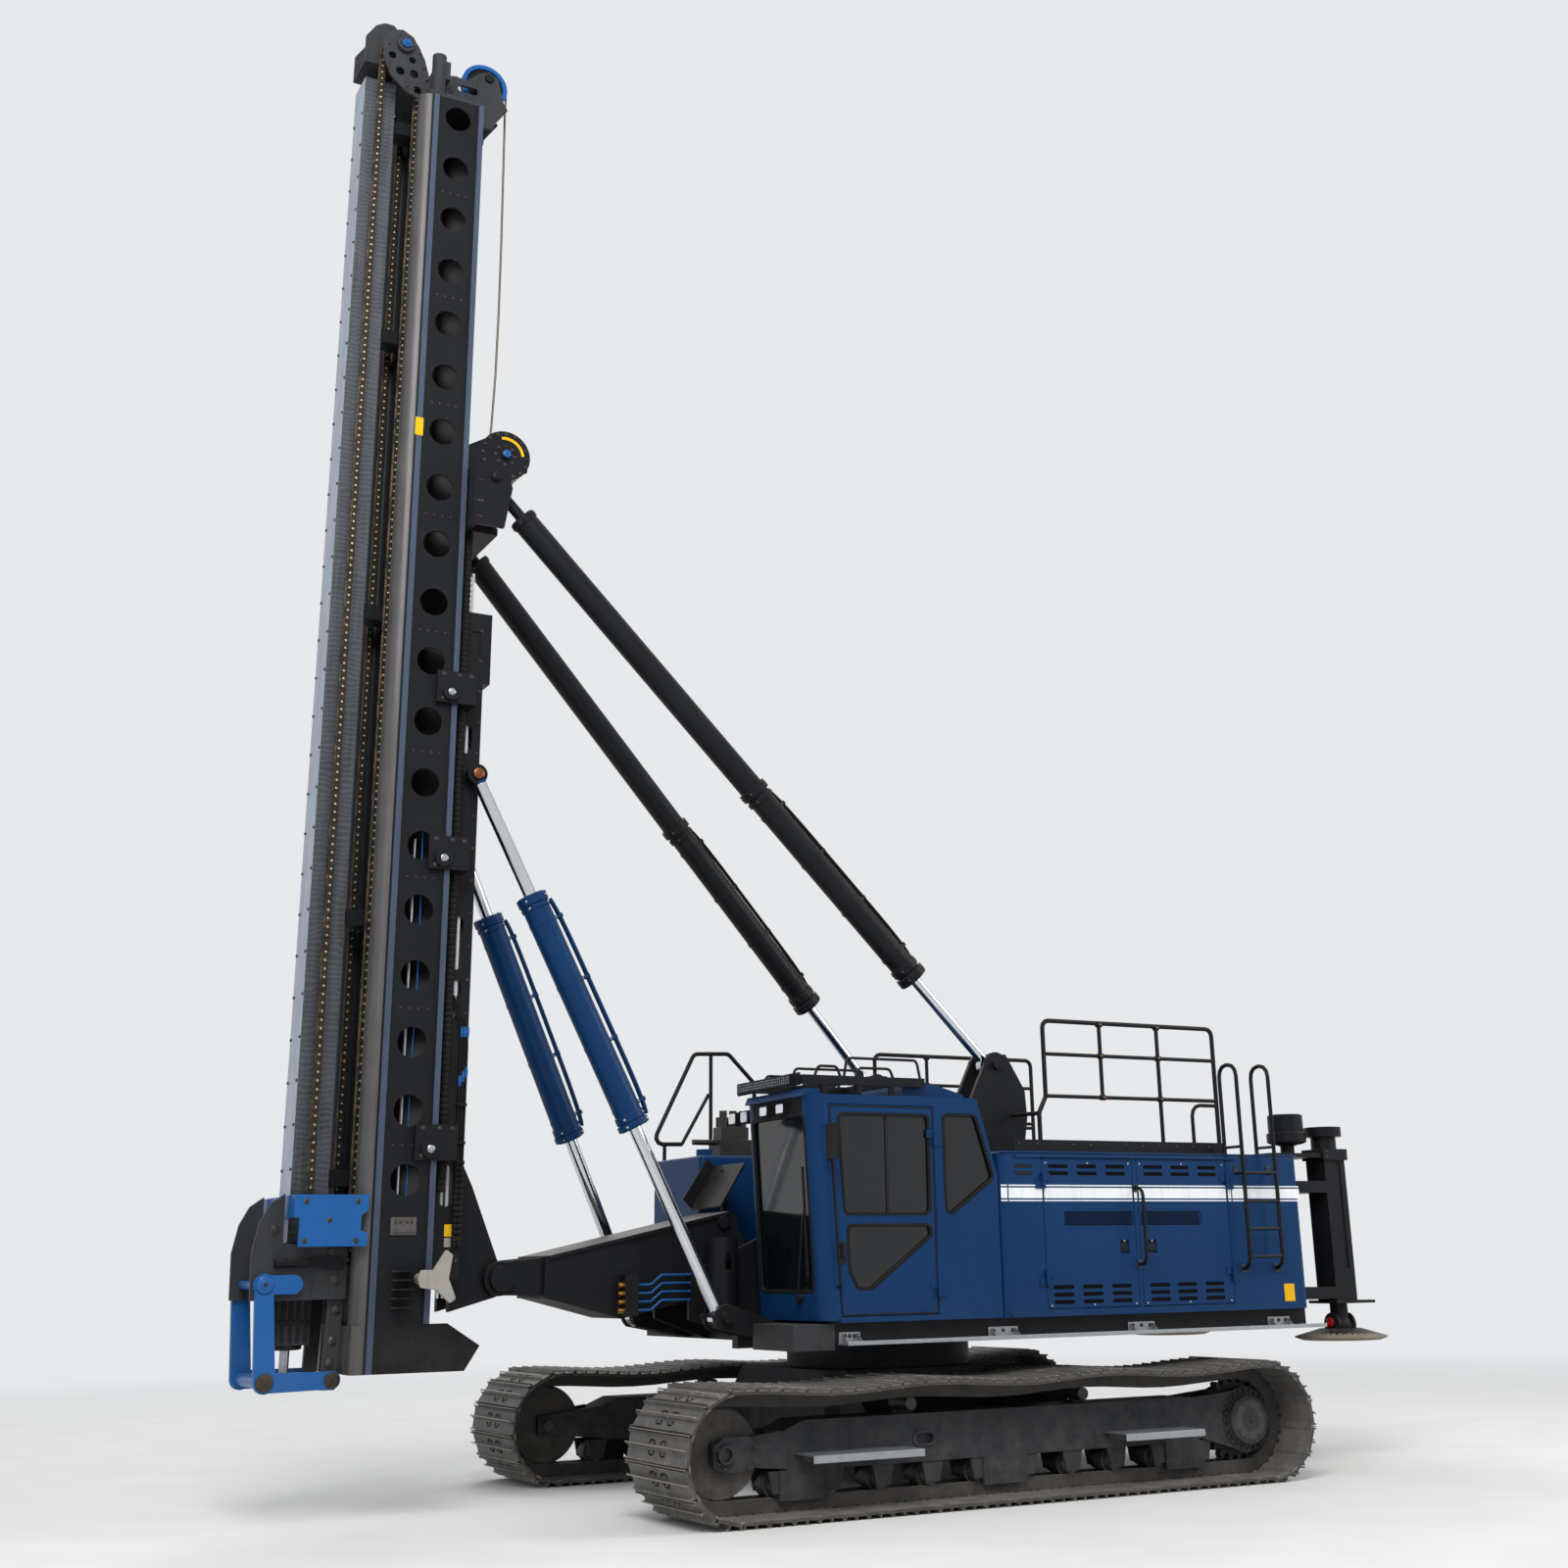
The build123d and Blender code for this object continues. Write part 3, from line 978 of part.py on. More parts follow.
with BuildPart() as sheave:
    with BuildSketch(Plane.XZ.offset(36)) as rim:
        with Locations((SHEAVE_X, SHEAVE_Z)):
            Circle(SHEAVE_R)
            Circle(SHEAVE_R - 38, mode=Mode.SUBTRACT)
    extrude(rim.sketch, amount=-72)
    disc_y(SHEAVE_X, SHEAVE_Z, SHEAVE_R - 20, -12, 12)
    disc_y(SHEAVE_X, SHEAVE_Z, 75, -50, 50)
    with BuildSketch(Plane.XZ) as groove:
        with Locations((SHEAVE_X + SHEAVE_R + 6, SHEAVE_Z)):
            Circle(24)
    revolve(groove.sketch, axis=Axis((SHEAVE_X, 0, SHEAVE_Z), (0, 1, 0)), mode=Mode.SUBTRACT)
    disc_y(SHEAVE_X, SHEAVE_Z, 40, -175, 175)
save(sheave, "rope_sheave")

chain_in = CHAIN_R - 22
chain_out = CHAIN_R + 22
with BuildPart() as chains:
    for y in (-CHAIN_Y - CHAIN_W / 2, CHAIN_Y - CHAIN_W / 2):
        with BuildSketch(Plane.XZ.offset(-y)) as loop:
            for r, mode in ((chain_out, Mode.ADD), (chain_in, Mode.SUBTRACT)):
                for z in (SPROCKET_LOW, SPROCKET_TOP):
                    with Locations((SPROCKET_X, z)):
                        Circle(r, mode=mode)
                with Locations((SPROCKET_X, (SPROCKET_LOW + SPROCKET_TOP) / 2)):
                    Rectangle(2 * r, SPROCKET_TOP - SPROCKET_LOW, mode=mode)
        extrude(loop.sketch, amount=-CHAIN_W)
save(chains, "hoist_chains")

with BuildPart() as low_sprocket:
    for y in (-CHAIN_Y - CHAIN_W / 2, CHAIN_Y - CHAIN_W / 2):
        disc_y(SPROCKET_X, SPROCKET_LOW, CHAIN_R - 22.3, y, y + CHAIN_W)
    disc_y(SPROCKET_X, SPROCKET_LOW, 24, -350, 350)
save(low_sprocket, "foot_sprockets")


# Carriage that the chains haul: near and far plates joined in front of the guide column

CAR_Z0 = 1870
CAR_Z1 = 2226
# Holes that a hammer is bolted to
HAMMER_BOLT_Y = 800
HAMMER_BOLT_Z = 90
HAMMER_BOLT_R = 17
with BuildPart() as carriage:
    for y0, y1 in ((-560, -522), (522, 560)):
        plate_y(((-5030, CAR_Z0), (-4540, CAR_Z0), (-4540, 1960), (-4590, 1980), (-4590, 2080),
                 (-4540, 2120), (-4540, CAR_Z1), (-5030, CAR_Z1)), y0, y1)
    block(-5075, -5022, -560, 560, CAR_Z0 + 200, CAR_Z1)
    block(-5025, GUIDE_X0 - 0.3, -140, 140, CAR_Z0 + 220, CAR_Z1 - 20)
    for y in (-HAMMER_BOLT_Y / 2, HAMMER_BOLT_Y / 2):
        for z in (-HAMMER_BOLT_Z / 2, HAMMER_BOLT_Z / 2):
            disc_x(y, CAR_Z1 - 78 + z, HAMMER_BOLT_R, -5080, -5020, Mode.SUBTRACT)
save(carriage, "chain_carriage")


# Pile guide at the leader's foot: cheeks, rocker arms and the swinging gate of two L links

GATE_X = -5204
GATE_Z = 1620

with BuildPart() as guide:
    for y in (-335, 310):
        plate_y(((-4615, 1512), (-5290, 1512), (-5300, 1840), (-5260, 2040), (-5190, 2170), (-5090, 2240),
                 (-5085, 1900), (-4615, 1860)), y, y + 25)
    disc_y(SPROCKET_X, SPROCKET_LOW, 24.6, -340, 340, Mode.SUBTRACT)
    disc_y(GATE_X, GATE_Z, 30.6, -340, 340, Mode.SUBTRACT)
    for y in (-290, 250):
        plate_y(((-4720, 1530), (-4615, 1530), (-4620, 1330), (-4640, 900), (-4740, 900), (-4730, 1230)),
                y, y + 40)
    block(-5140, LEAD_X0 - 0.3, -270, 270, 1515, 1640)
    pair_block(-5140, -4640, 260, 315, 1515, 1560)
    # hydraulic motor block between the arms
    block(-5080, -4800, -120, 120, 1200, 1520)
save(guide, "pile_guide_frame")

with BuildPart() as gate:
    for y in (-385, 345):
        with BuildSketch(Plane.XZ.offset(-y)) as link:
            Polygon((-5270, 1620), (-5140, 1620), (-5090, 1030), (-4700, 1030), (-4700, 910), (-5160, 900),
                    (-5235, 970), align=None)
            for x, z, r in ((GATE_X, GATE_Z, 75), (-5160, 970, 75), (-4690, 970, 62)):
                with Locations((x, z)):
                    Circle(r)
            with Locations((-5100, 1618)):
                SlotOverall(330, 130)
        extrude(link.sketch, amount=-40)
    disc_y(-5160, 970, 45, -400, 400)
    disc_y(GATE_X, GATE_Z, 30, -400, 400)
save(gate, "pile_guide_gate")


# Cradle: long beam behind the leader with windows, foot lugs, clamps, ties and stay head

# Slots in the cradle's sides: level of the middle, length
CRADLE_SLOTS = ((4125, 420), (3697, 285), (5770, 240), (2300, 300))
# Guide clamps that hold the leader: levels
CLAMPS = (6120, 4780, 2600)
HOSE_X = -3965
HOSE_Y = -385
HOSE_R = 32

with BuildPart() as cradle:
    block(CRADLE_X0, -3775, -CRADLE_Y, CRADLE_Y, CRADLE_Z0, CRADLE_Z1)
    block(CRADLE_X0 + 20, -3795, -CRADLE_Y + 20, CRADLE_Y - 20, CRADLE_Z0 - 1, CRADLE_Z1 - 30, Mode.SUBTRACT)
    # lower part is deeper towards the foot pin
    for y in (-170, 110):
        plate_y(((-3790, 1400), (-3790, 2600), (-3640, 2300), (-3420, 1760), (-3300, 1630), (-3420, 1500)),
                y, y + 60)
        disc_y(FOOT[0], FOOT[2], 120, y, y + 60)
        disc_y(FOOT[0], FOOT[2], 55.3, y, y + 60, Mode.SUBTRACT)
    # long windows in the side plates
    with BuildSketch(Plane.XZ.offset(CRADLE_Y + 5)) as windows:
        for z, length in CRADLE_SLOTS:
            with Locations((-3900, z)):
                SlotOverall(length, 105, rotation=90)
    extrude(windows.sketch, amount=-2 * CRADLE_Y - 10, mode=Mode.SUBTRACT)
    # eyes for the luffing cylinders
    disc_y(LUFF_TOP[0], LUFF_TOP[2], 50, -LUFF_TOP[1] - 60, LUFF_TOP[1] + 60)
    # guide clamps that reach round the leader's rear corners
    for side in (-1, 1):
        for z in CLAMPS:
            y_in = side * (LEAD_Y + 25)
            y_out = side * (LEAD_Y + 55)
            block(-4220, -3900, min(y_in, y_out), max(y_in, y_out), z - 130, z + 130)
            y_pad = side * (LEAD_Y + 0.3)
            block(-4200, -4100, min(y_pad, y_in), max(y_pad, y_in), z - 100, z + 100)
            block(-4025, -3900, min(side * (CRADLE_Y - 5), y_out), max(side * (CRADLE_Y - 5), y_out),
                  z - 130, z + 130)
            boss = sorted((y_out - side, y_out + side * 34))
            disc_y(-4110, z - 50, 66, boss[0], boss[1])
            disc_y(-4110, z - 50, 34, boss[0] - 1, boss[1] + 1, Mode.SUBTRACT)
    # cover box at the top with its side windows
    block(-3780, -3715, -CRADLE_Y, CRADLE_Y, 6250, CRADLE_Z1)
    for side in (-1, 1):
        cut = sorted((side * (CRADLE_Y - 14), side * (CRADLE_Y + 1)))
        block(-3880, -3800, cut[0], cut[1], 6475, 6690, Mode.SUBTRACT)
    disc_z(HOSE_X, HOSE_Y, HOSE_R + 0.3, CLAMPS[-1] - 140, CLAMPS[0] + 140, Mode.SUBTRACT)
save(cradle, "cradle_beam")

# Hose in its spiral guard, held by the clamps all the way down
with BuildPart() as hose:
    disc_z(HOSE_X, HOSE_Y, HOSE_R, 2250, 7499.7)
save(hose, "cradle_hose")

with BuildPart() as ties:
    for y in (-160, 160):
        disc_z(-3905, y, 36, CRADLE_Z1 + 0.3, 7500)
save(ties, "cradle_ties")

with BuildPart() as stay_head:
    block(-4030, -3750, -480, 480, 7500, 7560)
    for side in (-1, 1):
        for y in (side * 420 - 20, side * 660 - 20):
            plate_y(((-4030, 7500), (-3760, 7500), (-3700, 7860), (-3760, 8030), (-4030, 8030)), y, y + 40)
        disc_y(STAY_TOP[0], STAY_TOP[2], 45, side * 560 - 140, side * 560 + 140)
    block(-4030, -3990, -680, 680, 7500, 8030)
    # winch cheeks
    for y in (-400, 370):
        with BuildSketch(Plane.XZ.offset(-y)) as cheek:
            Polygon((-4030, 7900), (-4030, 8290), (-3740, 8470), (-3500, 8400), (-3480, 8150), (-3900, 8000),
                    align=None)
            with Locations((WINCH_X, WINCH_Z)):
                Circle(220)
        extrude(cheek.sketch, amount=-30)
    block(-4030, -4000, -400, 400, 7900, 8290)
    # curved cover over the drum, open below and where the rope leaves
    with BuildSketch(Plane.XZ.offset(371)) as cover:
        with Locations((WINCH_X, WINCH_Z)):
            Circle(215)
            Circle(197, mode=Mode.SUBTRACT)
        with Locations((WINCH_X - 140, WINCH_Z - 180)):
            Rectangle(400, 320, mode=Mode.SUBTRACT)
    extrude(cover.sketch, amount=-742)
    block(-3860, -3680, -70, 70, 8300, 8500, Mode.SUBTRACT)
    disc_y(WINCH_X, WINCH_Z, 34.3, -410, 410, Mode.SUBTRACT)
save(stay_head, "stay_head")

with BuildPart() as drum:
    disc_y(WINCH_X, WINCH_Z, 120, -362, 362)
    disc_y(WINCH_X, WINCH_Z, 34, -425, 425)
    for y in (-362, 342):
        disc_y(WINCH_X, WINCH_Z, 185, y, y + 20)
save(drum, "winch_drum")


# Backstays and luffing cylinders, each a barrel with its rod, from pin to pin

CYLINDERS = (
    # name, top pin, foot pin, barrel start and end as parts of the length, barrel, rod, top bore, foot bore,
    # half width of the foot's eye, depth of the barrel's bore
    ("backstay", STAY_TOP, STAY_FOOT, 0.06, 0.85, 105, 46, 45.3, 64, 34, 1900),
    ("luffing_cylinder", LUFF_TOP, LUFF_FOOT, 0.23, 0.66, 108, 52, 50.3, 53, 45, 1430),
)

for side, side_name in ((-1, "left"), (1, "right")):
    for label, top, foot, start, end, barrel_r, rod_r, top_bore, foot_bore, eye, depth in CYLINDERS:
        a = (top[0], side * top[1], top[2])
        b = (foot[0], side * foot[1], foot[2])
        length = (Vector(*b) - Vector(*a)).length
        with BuildPart() as barrel:
            bar(point_on(a, b, 60), point_on(a, b, length * start + 5), rod_r)
            bar(point_on(a, b, length * start), point_on(a, b, length * end), barrel_r)
            disc_y(a[0], a[2], 80, a[1] - 45, a[1] + 45)
            disc_y(a[0], a[2], top_bore, a[1] - 200, a[1] + 200, Mode.SUBTRACT)
            bar(point_on(a, b, length * end - depth), point_on(a, b, length * end - 70), rod_r + 6, Mode.SUBTRACT)
            bar(point_on(a, b, length * end - 80), point_on(a, b, length * end + 1), rod_r + 0.3, Mode.SUBTRACT)
        save(barrel, f"{label}_barrel_{side_name}")
        with BuildPart() as rod:
            bar(point_on(a, b, length * end - 1150), point_on(a, b, length - 40), rod_r)
            disc_y(b[0], b[2], foot_bore + 34, b[1] - eye, b[1] + eye)
            disc_y(b[0], b[2], foot_bore, b[1] - 200, b[1] + 200, Mode.SUBTRACT)
        save(rod, f"{label}_rod_{side_name}")
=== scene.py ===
"""Finishes and small parts of a pile driving rig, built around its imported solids."""
import json
from math import cos, pi, sin

import bmesh
import bpy
from mathutils import Matrix, Vector


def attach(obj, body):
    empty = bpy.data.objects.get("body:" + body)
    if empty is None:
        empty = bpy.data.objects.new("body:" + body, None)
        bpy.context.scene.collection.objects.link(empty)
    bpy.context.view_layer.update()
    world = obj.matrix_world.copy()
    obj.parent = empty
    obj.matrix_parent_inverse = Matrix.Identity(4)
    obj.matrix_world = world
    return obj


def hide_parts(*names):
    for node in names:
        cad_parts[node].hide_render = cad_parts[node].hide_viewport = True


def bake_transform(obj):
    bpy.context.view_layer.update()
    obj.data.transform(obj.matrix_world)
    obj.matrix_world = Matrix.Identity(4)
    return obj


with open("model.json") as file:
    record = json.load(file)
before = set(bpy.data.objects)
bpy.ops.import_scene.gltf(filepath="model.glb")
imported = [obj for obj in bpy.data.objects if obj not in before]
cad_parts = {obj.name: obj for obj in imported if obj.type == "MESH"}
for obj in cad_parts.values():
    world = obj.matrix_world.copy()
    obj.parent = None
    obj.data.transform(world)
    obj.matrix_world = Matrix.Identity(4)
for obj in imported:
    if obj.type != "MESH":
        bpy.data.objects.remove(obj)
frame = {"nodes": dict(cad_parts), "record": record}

bl_info = {
    "name": "Pile driving rig",
    "version": (1, 0, 0),
    "blender": (4, 5, 0),
    "location": "View3D > Sidebar > Rig",
    "description": "Dresses the rig's solids with finishes and small parts",
    "category": "Object",
}

SLEW_X = 430
HANDS = ((-1, "left"), (1, "right"))
# rounding of a piece's edges, in metres, and the length that a way is measured over, in millimetres
EDGE = 0.0015
FAR = 1000


def at(x, y, z):
    """A point in millimetres from the slewing axis, turned into the frame's metres."""
    return Vector(((x + SLEW_X) / 1000, y / 1000, z / 1000))


def linear(value):
    """The linear colour of an sRGB hex value."""
    parts = [int(value[i:i + 2], 16) / 255 for i in (1, 3, 5)]
    return tuple(c / 12.92 if c <= 0.04045 else ((c + 0.055) / 1.055) ** 2.4 for c in parts) + (1.0,)


def add(tree, kind, links=None, **settings):
    """Adds a node, sets its properties and sockets by name, and links its inputs."""
    node = tree.nodes.new(kind)
    for key, value in settings.items():
        if hasattr(node, key):
            setattr(node, key, value)
        else:
            node.inputs[key.replace("_", " ")].default_value = value
    for key, source in (links or {}).items():
        tree.links.new(source, node.inputs[key])
    return node


# name: base, second tone, patch mm, roughness, metallic, dust, streaks, grain mm, bump mm, wear,
# wear tone, coat
FINISHES = {
    # sprayed enamel on plate: even satin blue with faint orange peel, dust on ledges, few chips
    "sprayed_blue_enamel": ("#052a52", "#08345f", 900, 0.4, 0, 0.16, 0.22, 5, 0.02, 0.14, "#5f7690", 0.06),
    # brushed-on machine enamel in the lighter blue of small fittings
    "light_blue_enamel": ("#14569a", "#1a4f86", 300, 0.35, 0, 0.16, 0.1, 4, 0.02, 0.2, "#8fa3b5", 0.2),
    # cast and welded steel under black enamel: half-gloss with greasy handling marks and grey dust
    "black_enamel": ("#111215", "#1a1c1f", 500, 0.42, 0, 0.2, 0.25, 6, 0.04, 0.25, "#6c6862", 0.04),
    # grey primer-like enamel on heavy plate, greasy where chains throw oil
    "grey_enamel": ("#3a3c3f", "#2a2b2e", 420, 0.45, 0, 0.25, 0.5, 6, 0.05, 0.3, "#8e8e8c", 0),
    # charcoal enamel on the crawler's heavy plate, dull with dried mud
    "charcoal_enamel": ("#26292e", "#303338", 420, 0.5, 0, 0.22, 0.3, 7, 0.08, 0.3, "#6f6a62", 0),
    # flanks of the guide column: bare steel gone dark under grease, smeared in long runs
    "greased_column_steel": ("#34373c", "#4b4f56", 300, 0.36, 0.45, 0.06, 0.75, 3, 0.06, 0.35, "#9aa0a8", 0),
    # steel pad caked with road dust: pale, dull and grainy
    "caked_pad_steel": ("#8d8373", "#6f675b", 90, 0.8, 0, 0.5, 0.2, 8, 0.5, 0.4, "#b5ada0", 0),
    # sand-cast bracket in pale primer: dull, grainy, rubbed at its edges
    "primed_casting": ("#a29d95", "#88837b", 120, 0.55, 0, 0.3, 0.35, 5, 0.3, 0.3, "#c9c4ba", 0),
    # bright flat guide steel, drawn and rubbed by the sliding shoes
    "rubbed_guide_steel": ("#a9b2c0", "#8d97a8", 260, 0.34, 0.75, 0.08, 0.45, 2, 0.03, 0.2, "#d2d5d8", 0),
    # oiled roller-chain steel: brown from grease, bright at the plates' edges
    "oiled_chain_steel": ("#3a2f24", "#191614", 60, 0.4, 0.7, 0.1, 0, 3, 0.05, 0.7, "#b59a70", 0),
    # ground and chrome-plated rods: mirror-bright
    "hard_chrome": ("#d7dadd", "#c3c7cc", 200, 0.09, 1, 0.03, 0.05, 2, 0.0, 0, "#ffffff", 0),
    # hot-dip zinc: pale grey with large crystal patches
    "galvanised_steel": ("#a5a9ad", "#8b9095", 45, 0.42, 0.85, 0.14, 0.1, 3, 0.02, 0.1, "#d0d2d4", 0),
    # rolled track shoes: grey under dry mud, bright at rubbed edges
    "muddy_track_steel": ("#6d6b69", "#474645", 130, 0.58, 0.25, 0.6, 0.2, 9, 0.5, 0.85, "#c4bfb8", 0),
    # cast wheels: dark and oily, grainy where they are rough
    "cast_wheel_steel": ("#34302d", "#25221f", 120, 0.5, 0.4, 0.45, 0.1, 6, 0.3, 0.5, "#8f8a84", 0),
    # cab window glass: smoked, clean, and it mirrors the surroundings
    "smoked_glass": ("#0d1012", "#101417", 600, 0.03, 0, 0.02, 0, 5, 0, 0, "#ffffff", 0),
    # moulded black plastic: dull with a fine grain
    "moulded_plastic": ("#1b1c1e", "#232427", 200, 0.5, 0, 0.2, 0, 2, 0.03, 0.05, "#4a4a4a", 0),
    # pressed rubber of seals and hose covers: dull black
    "pressed_rubber": ("#141415", "#1d1d1d", 150, 0.62, 0, 0.25, 0, 3, 0.03, 0, "#3c3c3c", 0),
    # turned brass fittings: warm yellow, glossy
    "turned_brass": ("#c39a4a", "#a57f38", 40, 0.26, 1, 0.05, 0, 2, 0.0, 0.2, "#e3c783", 0),
    # copper-coated pin ends: brown-red metal
    "drawn_copper": ("#8f543a", "#6f4430", 40, 0.3, 1, 0.05, 0, 2, 0.0, 0.2, "#e0a27e", 0),
    # zinc-plated bolts and pipes: pale silver with duller patches
    "plated_bolt_steel": ("#b9bcc0", "#8e9196", 25, 0.3, 0.95, 0.1, 0, 2, 0.0, 0.3, "#e2e4e6", 0),
    # black-oxide bolts: dark and half-gloss, a little worn at the corners
    "oxide_bolt_steel": ("#2c2c2e", "#3c3a38", 25, 0.4, 0.7, 0.2, 0, 2, 0.0, 0.4, "#8c8c8c", 0),
    # white self-adhesive film: even, lightly soiled
    "white_film": ("#e6e8ea", "#d9dcdf", 300, 0.4, 0, 0.12, 0.12, 4, 0.0, 0, "#ffffff", 0.1),
    # yellow marker film: even and half-gloss
    "yellow_film": ("#e3b21c", "#d0a015", 200, 0.42, 0, 0.1, 0.05, 4, 0.0, 0, "#ffffff", 0),
    # orange moulded plastic: even and half-gloss
    "orange_plastic": ("#d8591b", "#c24d15", 100, 0.4, 0, 0.1, 0, 3, 0.0, 0, "#ffffff", 0),
    # stranded rope wire: dark grey grease with brighter crests
    "greased_rope_wire": ("#4c4a46", "#6e6b64", 12, 0.4, 0.8, 0.08, 0, 2, 0.0, 0.4, "#a9a59b", 0),
    # grouser tips that the ground has scoured bright
    "scoured_ridge_steel": ("#98938c", "#7d7872", 60, 0.45, 0.5, 0.25, 0, 5, 0.1, 0.3, "#c9c4bc", 0),
    # link sides, caked with dark dried mud
    "caked_link_steel": ("#2b2927", "#383431", 110, 0.7, 0.15, 0.25, 0.2, 7, 0.3, 0.2, "#7a736a", 0),
    # painted shade: near-black in slots and small holes, standing in for the shade that falls inside them
    "painted_recess_shade": ("#050506", "#080809", 60, 0.85, 0, 0.02, 0, 3, 0.0, 0.0, "#101010", 0),
    # pins that have rusted to a dark brown and been greased
    "rusted_pin_steel": ("#3d2b20", "#211812", 30, 0.6, 0.3, 0.15, 0, 4, 0.1, 0.3, "#8a7a6a", 0),
    # silvered bowls in the light bar's face: grey mirrors, their silver darkened by painted shade from the
    # bar's grid, and dulled in patches
    "bowl_reflector_painted_shade": ("#8f959a", "#5d6368", 30, 0.25, 0.7, 0.05, 0, 2, 0.0, 0.2, "#dfe3e6", 0),
    # bronze-coloured chain pins, burnished by the sprockets
    "burnished_pin_steel": ("#b9ad98", "#857b6b", 30, 0.3, 0.9, 0.05, 0, 2, 0.0, 0.2, "#e6cfa2", 0),
    # the leader's rounded front corners: brown-grey steel that the guides have rubbed
    "worn_nose_steel": ("#3f3d3c", "#5a5756", 260, 0.42, 0.35, 0.06, 0.6, 3, 0.03, 0.2, "#b9b6b2", 0),
    # narrow blued guide strips: dark blue-grey, streaked along their length
    "blued_strip_steel": ("#2b384b", "#36445a", 260, 0.4, 0.1, 0.05, 0.4, 3, 0.02, 0.08, "#c5ced8", 0),
    # moulded clear lamp lenses: pale and glossy
    "moulded_lens": ("#e9eef2", "#dfe5ea", 100, 0.08, 0, 0.04, 0, 2, 0.0, 0, "#ffffff", 0.6),
    # moulded red lamp lens: deep red and glossy
    "red_lens": ("#b31312", "#8f0e0e", 60, 0.12, 0, 0.08, 0, 2, 0.0, 0, "#ffffff", 0.6),
    # silvered mirror glass: mirrors its surroundings under a little dust
    "silvered_glass": ("#c9d0d4", "#c9d0d4", 400, 0.04, 1, 0.06, 0, 2, 0.0, 0, "#ffffff", 0),
    # white enamel on steel pipe: dull white with run marks
    "white_pipe_enamel": ("#cfd3d6", "#bfc4c8", 200, 0.4, 0, 0.2, 0.2, 4, 0.0, 0.1, "#8c8c8c", 0),
}

DUST = "#8a847b"
GRIME = "#1f1c1a"
COMBED_GREASE = "#85898e"
# how run marks are drawn out along the height, and the radius that softens every edge, in metres
RUN_SCALE = (26, 26, 1.3)
SOFT_RADIUS = 0.004


def ramp(tree, source, low=0.0, high=1.0, least=0.0, most=1.0):
    """Turns a value between two bounds into a factor."""
    node = add(tree, "ShaderNodeMapRange", {"Value": source})
    for key, value in zip(("From Min", "From Max", "To Min", "To Max"), (low, high, least, most)):
        node.inputs[key].default_value = value
    return node.outputs["Result"]


def lay(tree, factor, colour, tone):
    """Lays a tone over a colour, which is a socket or plain numbers."""
    node = add(tree, "ShaderNodeMix", {"Factor": factor}, data_type="RGBA")
    if isinstance(colour, bpy.types.NodeSocket):
        tree.links.new(colour, node.inputs[6])
    else:
        node.inputs[6].default_value = colour
    node.inputs[7].default_value = linear(tone)
    return node.outputs[2]


def joined(tree, operation, first, second):
    """One value from two; the second may be a plain number."""
    node = add(tree, "ShaderNodeMath", {0: first}, operation=operation)
    if isinstance(second, float):
        node.inputs[1].default_value = second
    else:
        tree.links.new(second, node.inputs[1])
    return node.outputs[0]


def noise(tree, place, scale, detail, roughness=0.5):
    """Cloudy patches in the part's own space."""
    return add(tree, "ShaderNodeTexNoise", {"Vector": place}, Scale=scale, Detail=detail,
               Roughness=roughness).outputs["Fac"]


